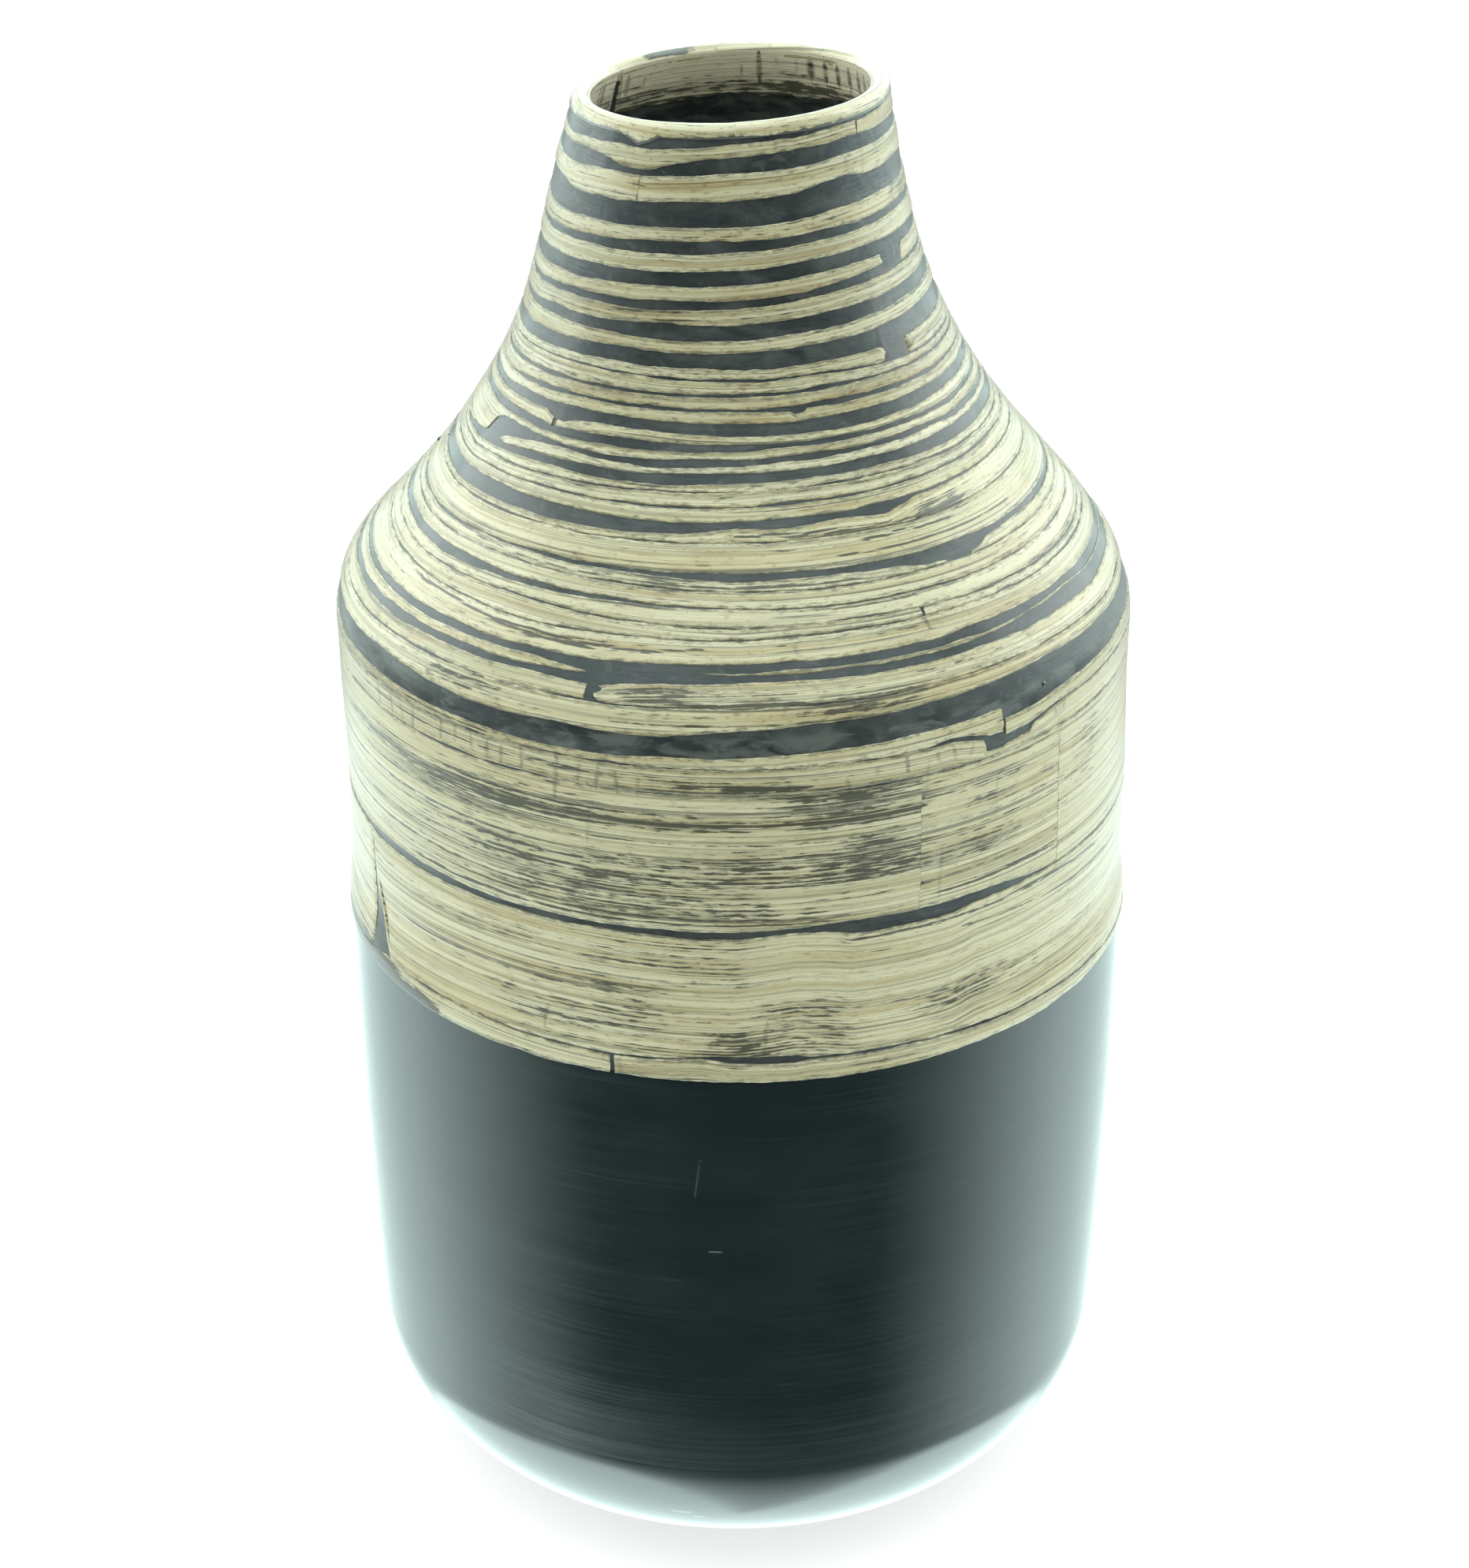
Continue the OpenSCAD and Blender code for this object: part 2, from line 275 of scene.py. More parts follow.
class Nodes:
    """Short ways to add and link shader nodes."""

    def __init__(self, owner, output="ShaderNodeOutputMaterial"):
        owner.use_nodes = True
        self.tree = owner.node_tree
        self.tree.nodes.clear()
        self.out = self.add(output)

    def add(self, kind, **settings):
        node = self.tree.nodes.new(kind)
        for key, value in settings.items():
            setattr(node, key, value)
        return node

    def put(self, socket, value):
        if isinstance(value, bpy.types.NodeSocket):
            self.tree.links.new(value, socket)
        else:
            socket.default_value = value

    def put_all(self, node, values):
        for key, value in values.items():
            self.put(node.inputs[key], value)
        return node

    def attribute(self, name, output="Fac"):
        return self.add("ShaderNodeAttribute", attribute_name=name).outputs[output]

    def place(self):
        return self.add("ShaderNodeTexCoord").outputs["Object"]

    def split(self, vector):
        return self.put_all(self.add("ShaderNodeSeparateXYZ"), {0: vector}).outputs

    def noise(self, vector, scale, shift=(0, 0, 0), detail=3.0, rough=0.55, warp=0.0):
        """Noise over a vector times its scale, with bumps about 1 apart, from about 0.2 to 0.8."""
        scaled = self.put_all(self.add("ShaderNodeMapping"), {
            "Vector": vector, "Scale": scale, "Location": shift,
        })
        node = self.put_all(self.add("ShaderNodeTexNoise"), {
            "Vector": scaled.outputs["Vector"], "Scale": 1.0, "Detail": detail, "Roughness": rough,
            "Distortion": warp,
        })
        return node.outputs["Fac"]

    def math(self, operation, a, b=0.0, c=0.0, clamp=False):
        node = self.add("ShaderNodeMath", operation=operation, use_clamp=clamp)
        return self.put_all(node, {0: a, 1: b, 2: c}).outputs[0]

    def total(self, *parts, plus=0.0):
        """The sum of values, each times its own weight."""
        value = plus
        for part, weight in parts:
            value = self.math("MULTIPLY_ADD", part, weight, value)
        return value

    def ramp(self, value, low, high, to_low=0.0, to_high=1.0):
        """One value at low and another at high, with a smooth change between them."""
        node = self.add("ShaderNodeMapRange", interpolation_type="SMOOTHSTEP")
        return self.put_all(node, {
            "Value": value, "From Min": low, "From Max": high, "To Min": to_low, "To Max": to_high,
        }).outputs["Result"]

    def blend(self, share, a, b):
        """A value between two others."""
        node = self.add("ShaderNodeMapRange", interpolation_type="LINEAR")
        return self.put_all(node, {"Value": share, "To Min": a, "To Max": b}).outputs["Result"]

    def mix(self, share, a, b):
        """A colour between two others."""
        return self.put_all(self.add("ShaderNodeMix", data_type="RGBA"), {0: share, 6: a, 7: b}).outputs[2]

    def mix_shaders(self, share, a, b):
        return self.put_all(self.add("ShaderNodeMixShader"), {0: share, 1: a, 2: b}).outputs[0]

    def bump(self, height, strength, distance):
        node = self.add("ShaderNodeBump")
        self.put_all(node, {"Strength": strength, "Distance": distance, "Height": height})
        return node.outputs["Normal"]

    def surface(self, colour, roughness, normal, **values):
        node = self.add("ShaderNodeBsdfPrincipled")
        self.put_all(node, {"Base Color": colour, "Roughness": roughness, "Normal": normal})
        self.put_all(node, {key.replace("_", " "): value for key, value in values.items()})
        self.put(self.out.inputs["Surface"], node.outputs["BSDF"])


# Colours of the bamboo, and of the lacquer and dirt on it
STRAW = srgb(205, 199, 155)
STRAW_TAN = srgb(188, 170, 120)
STRAW_PALE = srgb(220, 216, 180)
# Near-white, used only on the lining: partly its own pale bamboo, partly painted light against the shade
# inside the mouth
BLEACHED_AND_LIT = srgb(246, 240, 208)
OLIVE = srgb(140, 136, 104)
RESIDUE = srgb(52, 53, 38)
STAIN = srgb(128, 98, 58)
KINK_DARK = srgb(62, 60, 48)
SMEARED = srgb(92, 98, 95)
# Near-white: a painted highlight on the lip's front, and paler bamboo where other marks go below zero
HIGHLIGHT_PALE = srgb(248, 250, 236)
BAMBOO_SHEEN = (1.0, 0.98, 0.93, 1.0)

# Grain of the bamboo: bumps per mm along the fibre, per mm across it, and from strip to strip
BAND_GRAIN = (0.006, 0.5, 1.0)
FIBRE_GRAIN = (0.006, 1.25, 1.0)
HAIR_GRAIN = (0.04, 2.6, 1.0)
CLOUD_GRAIN = (0.035, 0.14, 1.0)
DASH_GRAIN = (0.22, 2.2, 1.0)
DOT_GRAIN = (0.42, 0.85, 1.0)
ROW_GRAIN = (0.004, 1.5, 1.0)
STREAK_GRAIN = (0.2, 1.2, 1.0)
THREAD_GRAIN = (0.005, 1.45, 1.0)
BROKEN_GRAIN = (0.07, 0.8, 1.0)
SMUDGE_GRAIN = (0.3, 1.2, 1.0)

# Colours of the lacquer ground, of the black lacquer and of the base board
GROUND_DARK = srgb(48, 55, 55)
GROUND_PALE = srgb(70, 76, 75)
GROUND_WORN = srgb(98, 104, 100)
GROUND_BLOT = srgb(28, 34, 34)
GROUND_DUST = srgb(118, 122, 116)
GROUND_SHEEN = (0.93, 1.0, 0.98, 1.0)
BLACK_DEEP = srgb(30, 42, 43)
BLACK_PALE = srgb(36, 50, 51)
BLACK_BRUSHED = srgb(70, 80, 78)
BLACK_CHIP = srgb(150, 158, 154)
BOARD_DARK = srgb(48, 42, 36)
BOARD_PALE = srgb(74, 64, 52)

# Scratches and chips in the black lacquer, in metres: x, z, half width, half height, lean, strength
SCRATCHES = [
    (-0.0101, 0.1395, 0.0003, 0.0062, 0.12, 0.12),
    (-0.0055, 0.1165, 0.0022, 0.0003, 0.0, 0.4),
    (-0.0150, 0.0235, 0.0032, 0.0007, 0.0, 0.8),
    (-0.0105, 0.0215, 0.0018, 0.0005, 0.0, 0.7),
]


def bamboo_material(name, streaks, lines, tan, gloss=0.6, bleach_and_light=0.0, painted_shade=0.0, spots=0.2):
    """Pale split bamboo: bands of straw and tan along the fibre, brown dashes and spots, and dark lacquer
    left in the fibres and along the edges. Streaks is how much lacquer stays everywhere, and lines how
    dark the thin lines along the fibre are. Where dark is below zero the bamboo turns near-white: on the
    lip's front this is a painted highlight."""
    material = bpy.data.materials.new(name)
    n = Nodes(material)
    wrap = n.attribute("wrap", "Vector")
    dark = n.attribute("dark")
    edge = n.attribute("edge")
    kink = n.attribute("kink")

    # The bamboo itself, from broad bands to single hairs
    bands = n.noise(wrap, BAND_GRAIN, detail=2.0)
    fibres = n.noise(wrap, FIBRE_GRAIN, (5, 3, 0), detail=2.0, rough=0.6)
    hairs = n.noise(wrap, HAIR_GRAIN, (8, 1, 2), detail=2.0, rough=0.6)
    clouds = n.noise(wrap, CLOUD_GRAIN, (9, 1, 4))
    colour = n.mix(n.ramp(bands, 0.38, 0.62), STRAW_PALE, STRAW)
    colour = n.mix(n.ramp(n.total((bands, 0.5), (clouds, 0.5)), 0.48, 0.62, 0.0, tan), colour, STRAW_TAN)
    colour = n.mix(n.ramp(fibres, 0.50, 0.64, 0.0, 0.55), colour, OLIVE)
    colour = n.mix(n.ramp(fibres, 0.46, 0.36, 0.0, 0.6), colour, STRAW_PALE)
    colour = n.mix(n.ramp(hairs, 0.50, 0.75, 0.0, 0.35), colour, OLIVE)
    # The bleaching setting turns the colour near-white: on the lining this is partly painted light, making up
    # for the shade inside the mouth
    colour = n.mix(bleach_and_light, colour, BLEACHED_AND_LIT)
    # Painted shade: the shading setting darkens the bamboo towards olive, most on the neck, a little on the
    # shoulder
    colour = n.mix(painted_shade, colour, OLIVE)

    # Brown dashes and spots
    dashes = n.noise(wrap, DASH_GRAIN, (2, 7, 1), detail=2.0)
    dots = n.noise(wrap, DOT_GRAIN, (3, 9, 5), detail=2.0, rough=0.6)
    colour = n.mix(n.ramp(dashes, 0.64, 0.74, 0.0, 0.4), colour, STAIN)
    colour = n.mix(n.ramp(dots, 0.60, 0.70, 0.0, spots), colour, STAIN)

    # Dark lacquer: in the fibres, in thin lines and along the edges
    rows = n.noise(wrap, ROW_GRAIN, (3, 3, 3), detail=2.0, rough=0.65)
    streak = n.noise(wrap, STREAK_GRAIN, (7, 5, 3), rough=0.62)
    reach = n.total((rows, 0.75), (streak, 0.6), (clouds, 0.35), (dark, 1.0), plus=streaks - 0.35)
    residue = n.ramp(reach, 0.66, 0.74)
    thread = n.noise(wrap, THREAD_GRAIN, (1, 8, 6), detail=1.0)
    broken = n.noise(wrap, BROKEN_GRAIN, (4, 4, 4))
    line = n.ramp(n.total((broken, 0.3), (thread, 1.0), (dark, 0.6)), 0.78, 0.86, 0.0, lines)
    smudge = n.noise(wrap, SMUDGE_GRAIN, (6, 2, 8), detail=4.0, rough=0.7)
    along_edge = n.ramp(n.total((smudge, 1.0), (edge, -0.17)), 0.34, 0.56, 0.0, 0.72)
    lacquer = n.math("MAXIMUM", residue, n.math("MAXIMUM", line, along_edge))
    colour = n.mix(n.ramp(reach, 0.54, 0.76, 0.0, 0.5), colour, OLIVE)
    colour = n.mix(n.math("MULTIPLY", lacquer, 0.87), colour, RESIDUE)
    colour = n.mix(n.ramp(n.total((broken, 0.3), (dark, 1.0)), 0.6, 0.8, 0.0, 0.75), colour, SMEARED)
    colour = n.mix(n.math("MULTIPLY", kink, n.ramp(broken, 0.35, 0.6, 0.45, 1.0)), colour, KINK_DARK)
    # Below zero, dark turns the bamboo near-white: on the lip's front this is a painted highlight
    colour = n.mix(n.ramp(dark, -0.05, -0.5, 0.0, 0.85), colour, HIGHLIGHT_PALE)

    n.surface(
        colour,
        n.ramp(fibres, 0.3, 0.7, 0.34, 0.46),
        n.bump(n.total((fibres, 0.6), (hairs, 0.3), (lacquer, -0.25)), 0.5, 0.0005),
        Coat_Weight=gloss,
        Coat_Roughness=0.3 - 0.2 * gloss,
        Coat_IOR=1.7,
        Sheen_Weight=0.42,
        Sheen_Roughness=0.4,
        Sheen_Tint=BAMBOO_SHEEN,
    )
    return material


def ground_material():
    """Dark lacquer between the strips: grey, worn pale in patches, with drips and dark blots."""
    material = bpy.data.materials.new("lacquer_ground")
    n = Nodes(material)
    place = n.place()
    worn = n.attribute("worn")
    clouds = n.noise(place, (60, 60, 110), detail=4.0, rough=0.6, warp=0.6)
    blots = n.noise(place, (190, 190, 320), (3, 1, 7), warp=0.8)
    scuffs = n.noise(place, (75, 75, 230), (8, 4, 2), detail=5.0, rough=0.6, warp=0.5)
    grain = n.noise(place, (120, 120, 1500), (1, 6, 2), detail=2.0)
    colour = n.mix(n.ramp(clouds, 0.42, 0.66), GROUND_DARK, GROUND_PALE)
    colour = n.mix(n.math("MULTIPLY", n.ramp(scuffs, 0.44, 0.60), worn), colour, GROUND_WORN)
    colour = n.mix(n.ramp(blots, 0.60, 0.70, 0.0, 0.4), colour, GROUND_BLOT)
    colour = n.mix(n.ramp(blots, 0.40, 0.30, 0.0, 0.22), colour, GROUND_DUST)
    n.surface(
        colour,
        n.ramp(clouds, 0.3, 0.7, 0.24, 0.42),
        n.bump(n.total((clouds, 0.6), (grain, 0.25)), 0.5, 0.0008),
        Coat_Weight=0.6,
        Coat_Roughness=0.12,
        Sheen_Weight=0.4,
        Sheen_Roughness=0.4,
        Sheen_Tint=GROUND_SHEEN,
    )
    return material


def black_material():
    """Black satin lacquer over wound bamboo, with fine level brush lines and a few scratches."""
    material = bpy.data.materials.new("black_lacquer")
    n = Nodes(material)
    place = n.place()
    brush = n.noise(place, (9, 9, 1300), detail=4.0, rough=0.6)
    turns = n.noise(place, (4, 4, 160), (5, 2, 1))
    clouds = n.noise(place, (22, 22, 40), (7, 3, 2))
    rub = n.noise(place, (60, 60, 500), (2, 2, 9))
    colour = n.mix(n.ramp(clouds, 0.35, 0.65), BLACK_DEEP, BLACK_PALE)
    colour = n.mix(n.ramp(brush, 0.48, 0.72, 0.0, 0.12), colour, BLACK_BRUSHED)
    colour = n.mix(n.ramp(rub, 0.66, 0.78, 0.0, 0.35), colour, BLACK_BRUSHED)
    x, y, z = n.split(place)
    front = n.math("LESS_THAN", y, 0.0)
    for mark_x, mark_z, half_x, half_z, lean, strength in SCRATCHES:
        up = n.math("SUBTRACT", z, mark_z)
        along = n.total((up, -lean), (x, 1.0), plus=-mark_x)
        far = n.math("MAXIMUM", n.math("DIVIDE", n.math("ABSOLUTE", along), half_x),
                     n.math("DIVIDE", n.math("ABSOLUTE", up), half_z))
        speck = n.ramp(n.total((rub, 1.2), (far, 1.0)), 1.3, 1.6, strength, 0.0)
        colour = n.mix(n.math("MULTIPLY", speck, front), colour, BLACK_CHIP)
    n.surface(
        colour,
        n.math("ADD", n.ramp(brush, 0.3, 0.7, 0.11, 0.18), n.ramp(clouds, 0.3, 0.7, -0.01, 0.01)),
        n.bump(n.total((brush, 0.35), (turns, 0.65)), 0.05, 0.0006),
        IOR=1.62,
        Specular_IOR_Level=1.0,
    )
    return material


def board_material():
    """Plain dark-stained board under the foot."""
    material = bpy.data.materials.new("base_board")
    n = Nodes(material)
    grain = n.noise(n.place(), (18, 260, 18), detail=4.0, warp=0.4)
    colour = n.mix(n.ramp(grain, 0.35, 0.65), BOARD_DARK, BOARD_PALE)
    n.surface(colour, n.ramp(grain, 0.3, 0.7, 0.55, 0.7), n.bump(grain, 0.3, 0.0004))
    return material


# The neck and shoulder bamboo are darkened by painted shade, the neck most
NECK_BAMBOO = bamboo_material("bamboo_neck", 0.04, 0.6, 1.0, painted_shade=0.22, spots=0.5)
SHOULDER_BAMBOO = bamboo_material("bamboo_shoulder", 0.03, 0.8, 0.8, painted_shade=0.06, spots=0.35)
BELLY_BAMBOO = bamboo_material("bamboo_belly", 0.028, 0.7, 0.5)
RIM_BAMBOO = bamboo_material("bamboo_rim", 0.05, 0.5, 0.6, gloss=1.0, spots=0.5)
# The lining is fully near-white: partly its own pale bamboo, partly painted light against the shade inside
# the mouth
LINING_BAMBOO = bamboo_material("bamboo_lining", -0.02, 0.35, 0.7, bleach_and_light=1.0)
GROUND = ground_material()
BLACK = black_material()
BOARD = board_material()

# Edges of the strips as azimuth, upper edge, lower edge. Between the last azimuth and the first, round
# the back, they run on smoothly. Joint is the azimuth where the strip ends and the one where it starts.
# Ragged is how far an end is torn, in mm, round over how many degrees it narrows, and slant how far it
# leans, in mm.
STRIPS = {
    "neck_strip_01": {"joint": (47.9, 48.4), "edges": [
        (-70, 17.5, 19.8), (-60, 16.5, 19), (-50, 15.9, 19), (-40, 15.3, 20.3), (-30, 15.2, 20),
        (-20, 14.3, 17.8), (-10, 13.7, 16.4), (0, 12.9, 15.8), (10, 12.4, 15.5), (13, 12.4, 15.5),
        (15, 12, 15.2), (20, 12, 14.8), (30, 11.5, 14.5), (40, 11, 14.3), (50, 11, 14.5), (60, 10.6, 14.8),
        (70, 10.4, 14.6)]},
    "neck_strip_02": {"joint": (-32.8, -32.4), "edges": [
        (-70, 23.5, 28), (-60, 23, 29.4), (-50, 22.3, 29), (-40, 21.8, 28.5), (-30, 21.7, 27.7),
        (-20, 20.9, 26.8), (-10, 20.2, 26.3), (0, 19.5, 26), (10, 19.2, 25.5), (20, 18.9, 25),
        (30, 18.5, 23.5), (40, 18.3, 23.2), (50, 18, 24.3), (60, 17.8, 24.5), (70, 17.5, 24)]},
    "neck_strip_03": {"joint": (118, 118.9), "edges": [
        (-70, 35.5, 40), (-60, 35.2, 39.3), (-50, 34.5, 38.3), (-40, 34, 37.7), (-30, 33.5, 36.8),
        (-20, 33, 36.3), (-10, 32.5, 35.8), (0, 32.2, 35.5), (10, 31.8, 35.2), (20, 31.3, 35),
        (30, 30.6, 34.5), (40, 30.2, 34.8), (50, 30, 34.5), (60, 29.7, 34.5), (70, 29.5, 34)]},
    "neck_strip_04": {"joint": (-118.9, -118), "edges": [
        (-70, 41.5, 46.2), (-60, 41, 45.7), (-50, 40.4, 45), (-40, 40.2, 44.6), (-30, 39.7, 43.8),
        (-20, 39, 43.5), (-10, 38.8, 43), (0, 38.2, 42.5), (10, 37.8, 42), (20, 37.3, 41.5),
        (30, 37, 41.2), (40, 36.8, 41), (50, 36.6, 40.8), (60, 36.2, 41), (70, 35.8, 41)]},
    "neck_strip_05": {"joint": (51.5, 63.5), "slant": 3, "ragged_start": 0.8, "ragged_end": 0.8, "edges": [
        (-70, 50, 53.7), (-60, 49.4, 52.8), (-50, 48.9, 52.2), (-40, 47.9, 51.6), (-30, 47.4, 51.2),
        (-20, 46.9, 50.3), (-10, 46.5, 50), (0, 46, 49.6), (10, 45.5, 49), (20, 44.9, 48.7),
        (30, 44.6, 48), (40, 44.3, 47.2), (51, 44.4, 46.8), (64, 44, 48.3), (70, 43.8, 48)]},
    "neck_strip_06": {"joint": (160, 160.8), "edges": [
        (-70, 55.2, 59.7), (-60, 54.4, 58.3), (-50, 54, 57.9), (-40, 53.5, 57.5), (-30, 53.2, 56.7),
        (-20, 52.5, 55.7), (-10, 52, 55.6), (0, 51.5, 55.6), (10, 51, 55.2), (20, 50.5, 54.7),
        (30, 50.1, 54.3), (40, 49.6, 54), (50, 49.3, 53.9), (60, 49, 53.4), (70, 49, 53)]},
    "neck_strip_07": {"joint": (-140.8, -140), "edges": [
        (-70, 61.3, 65.8), (-60, 60.9, 65.2), (-50, 60.4, 64.3), (-40, 60.1, 63.3), (-30, 59.9, 62.8),
        (-20, 59.7, 62.7), (-10, 59.5, 62.5), (0, 59.2, 62.4), (10, 58.8, 61.7), (20, 58.3, 61.5),
        (30, 57.9, 61.3), (40, 57.4, 61), (50, 57, 60.8), (60, 56.7, 60.2), (70, 56.3, 60)]},
    "neck_strip_08": {"joint": (43.5, 53), "round_end": 2, "ragged_start": 0.9, "ragged_end": 0.8, "edges": [
        (-70, 69, 70.9), (-60, 68.5, 70.3), (-50, 67.5, 69.6), (-40, 67, 69.2), (-30, 66.5, 68.8),
        (-20, 66.5, 68.7), (-10, 66.2, 68.6), (0, 66, 68.4), (10, 66.2, 68.3), (20, 65.7, 68.2),
        (40, 65.7, 69.2), (43.5, 65.8, 69.2), (53, 65.2, 69.8), (60, 65, 69.7), (70, 64.8, 69.4)]},
    "neck_strip_09": {"joint": (170, 170.7), "edges": [
        (-70, 71.1, 75.1), (-60, 70.5, 74.5), (-50, 70, 73.8), (-40, 69.5, 73.5), (-30, 69.3, 72.8),
        (-20, 69.2, 72.5), (0, 69, 72), (10, 69, 71.8), (20, 68.7, 71.5), (30, 69, 71.2),
        (40, 69.7, 71.5), (50, 70, 71.9), (60, 70, 71.7), (70, 69.6, 71.4)]},
    "neck_strip_10": {"joint": (-100.7, -100), "edges": [
        (-70, 75.7, 79.2), (-60, 75.1, 78.2), (-40, 74, 76.7), (-20, 73.2, 75.9), (0, 72.7, 75.7),
        (20, 72.3, 75.1), (40, 72.1, 75), (60, 72.2, 75.2), (70, 71.7, 75)]},
    "neck_strip_11": {"joint": (104.2, 104.9), "edges": [
        (-70, 79.6, 82.5), (-60, 79, 81.3), (-50, 78.3, 81), (-40, 77.4, 79.9), (-30, 77.2, 79.7),
        (-20, 76.6, 79.5), (-10, 76.6, 79.3), (0, 76.4, 79), (13, 76.4, 79.2), (14.5, 77.4, 79.2),
        (16.5, 77.3, 79.1), (17.5, 76.3, 79), (30, 76.2, 78.7), (40, 76, 78.7), (60, 76, 78.5),
        (70, 75.5, 78)]},
    "shoulder_strip_01": {"joint": (-46.9, -45.6), "edges": [
        (-70, 84.2, 87), (-60, 83.5, 86.5), (-50, 83, 86.2), (-46.2, 84.8, 86.8), (-44, 84.7, 86.3),
        (-40, 83.3, 85.7), (-30, 82.2, 85), (-20, 81.8, 84.5), (0, 82, 84.4), (20, 82.4, 84),
        (40, 82, 84), (60, 81, 83.8), (70, 80.5, 83.3)]},
    "shoulder_strip_02": {"joint": (130, 130.7), "edges": [
        (-90, 88.7, 97.5), (-73, 88.6, 97.5), (-69, 88.6, 96.5), (-67, 88.5, 92), (-64, 88.4, 90.5),
        (-60, 88.2, 90), (-50, 88.3, 90), (-40, 88, 89.7), (-30, 87.3, 89.7), (-20, 86.8, 88.8),
        (-10, 86.2, 88), (0, 86, 88), (10, 85.3, 87.3), (30, 85.2, 87.2), (50, 85, 86.7),
        (60, 84.8, 87), (70, 84.3, 86.8), (180, 86, 90)]},
    "shoulder_strip_03": {"joint": (-77, -61.5), "round_end": 3, "round_start": 5, "ragged_end": 1.3,
                          "edges": [
        (-61.5, 94.6, 96.8), (-57, 93.4, 96), (-50, 91.8, 94.3), (-40, 90.8, 93.5), (-30, 91, 93),
        (-20, 91, 92.7), (-10, 90, 91.5), (0, 89.7, 91), (10, 88.8, 90.8), (20, 88.5, 90.6),
        (40, 88.2, 90.3), (50, 87.8, 90.2), (60, 88.4, 90), (70, 88, 89.8), (180, 91.5, 94),
        (270, 98, 99.4)]},
    "shoulder_strip_04": {"joint": (100, 100.6), "edges": [
        (-70, 99.2, 101), (-60, 97.8, 99.9), (-50, 96.6, 98.9), (-40, 95.6, 98), (-20, 95, 96.6),
        (0, 93.8, 95.8), (20, 93, 94.9), (50, 93, 94.9), (70, 92.6, 94.7)]},
    "shoulder_strip_05": {"joint": (-150.6, -150), "edges": [
        (-70, 101.2, 103.9), (-60, 100, 102.7), (-40, 98.1, 101), (-30, 97.5, 100.5), (-20, 96.8, 100.2),
        (0, 96, 99.4), (10, 95.2, 98.7), (30, 95.1, 98.2), (50, 95.1, 97.9), (70, 94.9, 97.5)]},
    "shoulder_strip_06": {"joint": (180, 180.6), "edges": [
        (-70, 104.1, 106.7), (-60, 102.9, 105.9), (-50, 102, 105.2), (-40, 101.3, 104.8), (-20, 100.5, 104.1),
        (0, 99.7, 103), (20, 98.9, 102.2), (40, 98.5, 101.8), (60, 98.1, 101.6), (70, 97.7, 101.3)]},
    "shoulder_strip_07": {"joint": (-90.6, -90), "edges": [
        (-70, 110.6, 112.3), (-60, 109.8, 111.8), (-50, 109, 111.1), (-40, 108.7, 110.4), (-20, 107.5, 109.3),
        (-10, 106.3, 108.7), (0, 104.8, 108.3), (10, 105, 108), (20, 104, 107.9), (30, 104.8, 107.9),
        (38, 102.5, 107.8), (50, 101.9, 107.6), (60, 101.7, 107.4), (70, 101.5, 107.2)]},
    "shoulder_strip_08": {"joint": (140, 140.5), "edges": [
        (-70, 112.4, 119.8), (-60, 111.9, 119), (-50, 111.2, 118.2), (-40, 110.5, 117.5), (-20, 109.4, 116.5),
        (0, 108.4, 115.9), (20, 108, 115.9), (40, 107.9, 115.9), (60, 107.5, 115.9), (70, 107.3, 115.7)]},
    "shoulder_strip_09": {"joint": (38.5, 45.2), "ragged_start": 0.9, "ragged_end": 0.9, "edges": [
        (-70, 120.3, 122.8), (-60, 119.4, 122.2), (-50, 118.6, 121.5), (-40, 118, 120.9), (-20, 117.6, 120.4),
        (0, 117.9, 120.5), (20, 117.6, 120.4), (29, 118.2, 120.4), (35, 119.6, 120.5), (46, 119.6, 120.5),
        (50, 117.7, 120.4), (60, 117.2, 120.3), (70, 117.2, 120.2)]},
    "shoulder_strip_10": {"joint": (-110.5, -110), "edges": [
        (-70, 122.9, 126), (-60, 122.3, 125.4), (-50, 121.6, 125.1), (-40, 121, 124.9), (-20, 120.5, 124.3),
        (0, 120.6, 124.9), (20, 120.5, 125.1), (40, 120.6, 125.1), (70, 120.3, 124.8)]},
    "shoulder_strip_11": {"joint": (95, 95.5), "edges": [
        (-70, 128.1, 130.9), (-60, 128, 130.5), (-50, 127, 129.8), (-40, 126.3, 129.1), (-30, 125.8, 129.2),
        (-20, 125, 129.4), (0, 125, 129.8), (20, 125.3, 128.8), (40, 125.2, 129.6), (70, 124.9, 129.6)]},
    "shoulder_strip_12": {"joint": (30.3, 30.9), "edges": [
        (-70, 131, 134.7), (-60, 130.6, 134.4), (-50, 129.9, 134.4), (-40, 129.2, 134.4), (-30, 129.3, 133.9),
        (-20, 129.5, 133.3), (0, 129.9, 132.6), (10, 128.9, 131.8), (30, 128.9, 131.5), (45, 129.8, 131.8),
        (70, 129.7, 131.6)]},
    "shoulder_strip_13": {"joint": (-170.5, -170), "edges": [
        (-70, 134.8, 141.9), (-60, 134.5, 141.3), (-50, 134.5, 140.9), (-40, 134.5, 140.6), (-30, 134, 140.2),
        (-20, 133.4, 139.9), (-15, 133, 139.4), (0, 132.7, 138.3), (10, 131.9, 138.1), (30, 131.6, 137.7),
        (50, 131.9, 137), (70, 131.7, 137.2)]},
    "shoulder_strip_14": {"joint": (-22, -5), "round_end": 8, "round_start": 8, "edges": [
        (-70, 143.2, 146), (-60, 143, 145.3), (-50, 142.8, 144.8), (-40, 142.3, 144.6), (-30, 142, 144.2),
        (-22, 142.8, 143.8), (-5, 140.9, 141.3), (0, 140.7, 141.3), (10, 140, 141), (30, 139.9, 141),
        (40, 139.8, 140.6), (50, 139.1, 139.7), (60, 138.5, 139.1), (70, 139.7, 140.2)]},
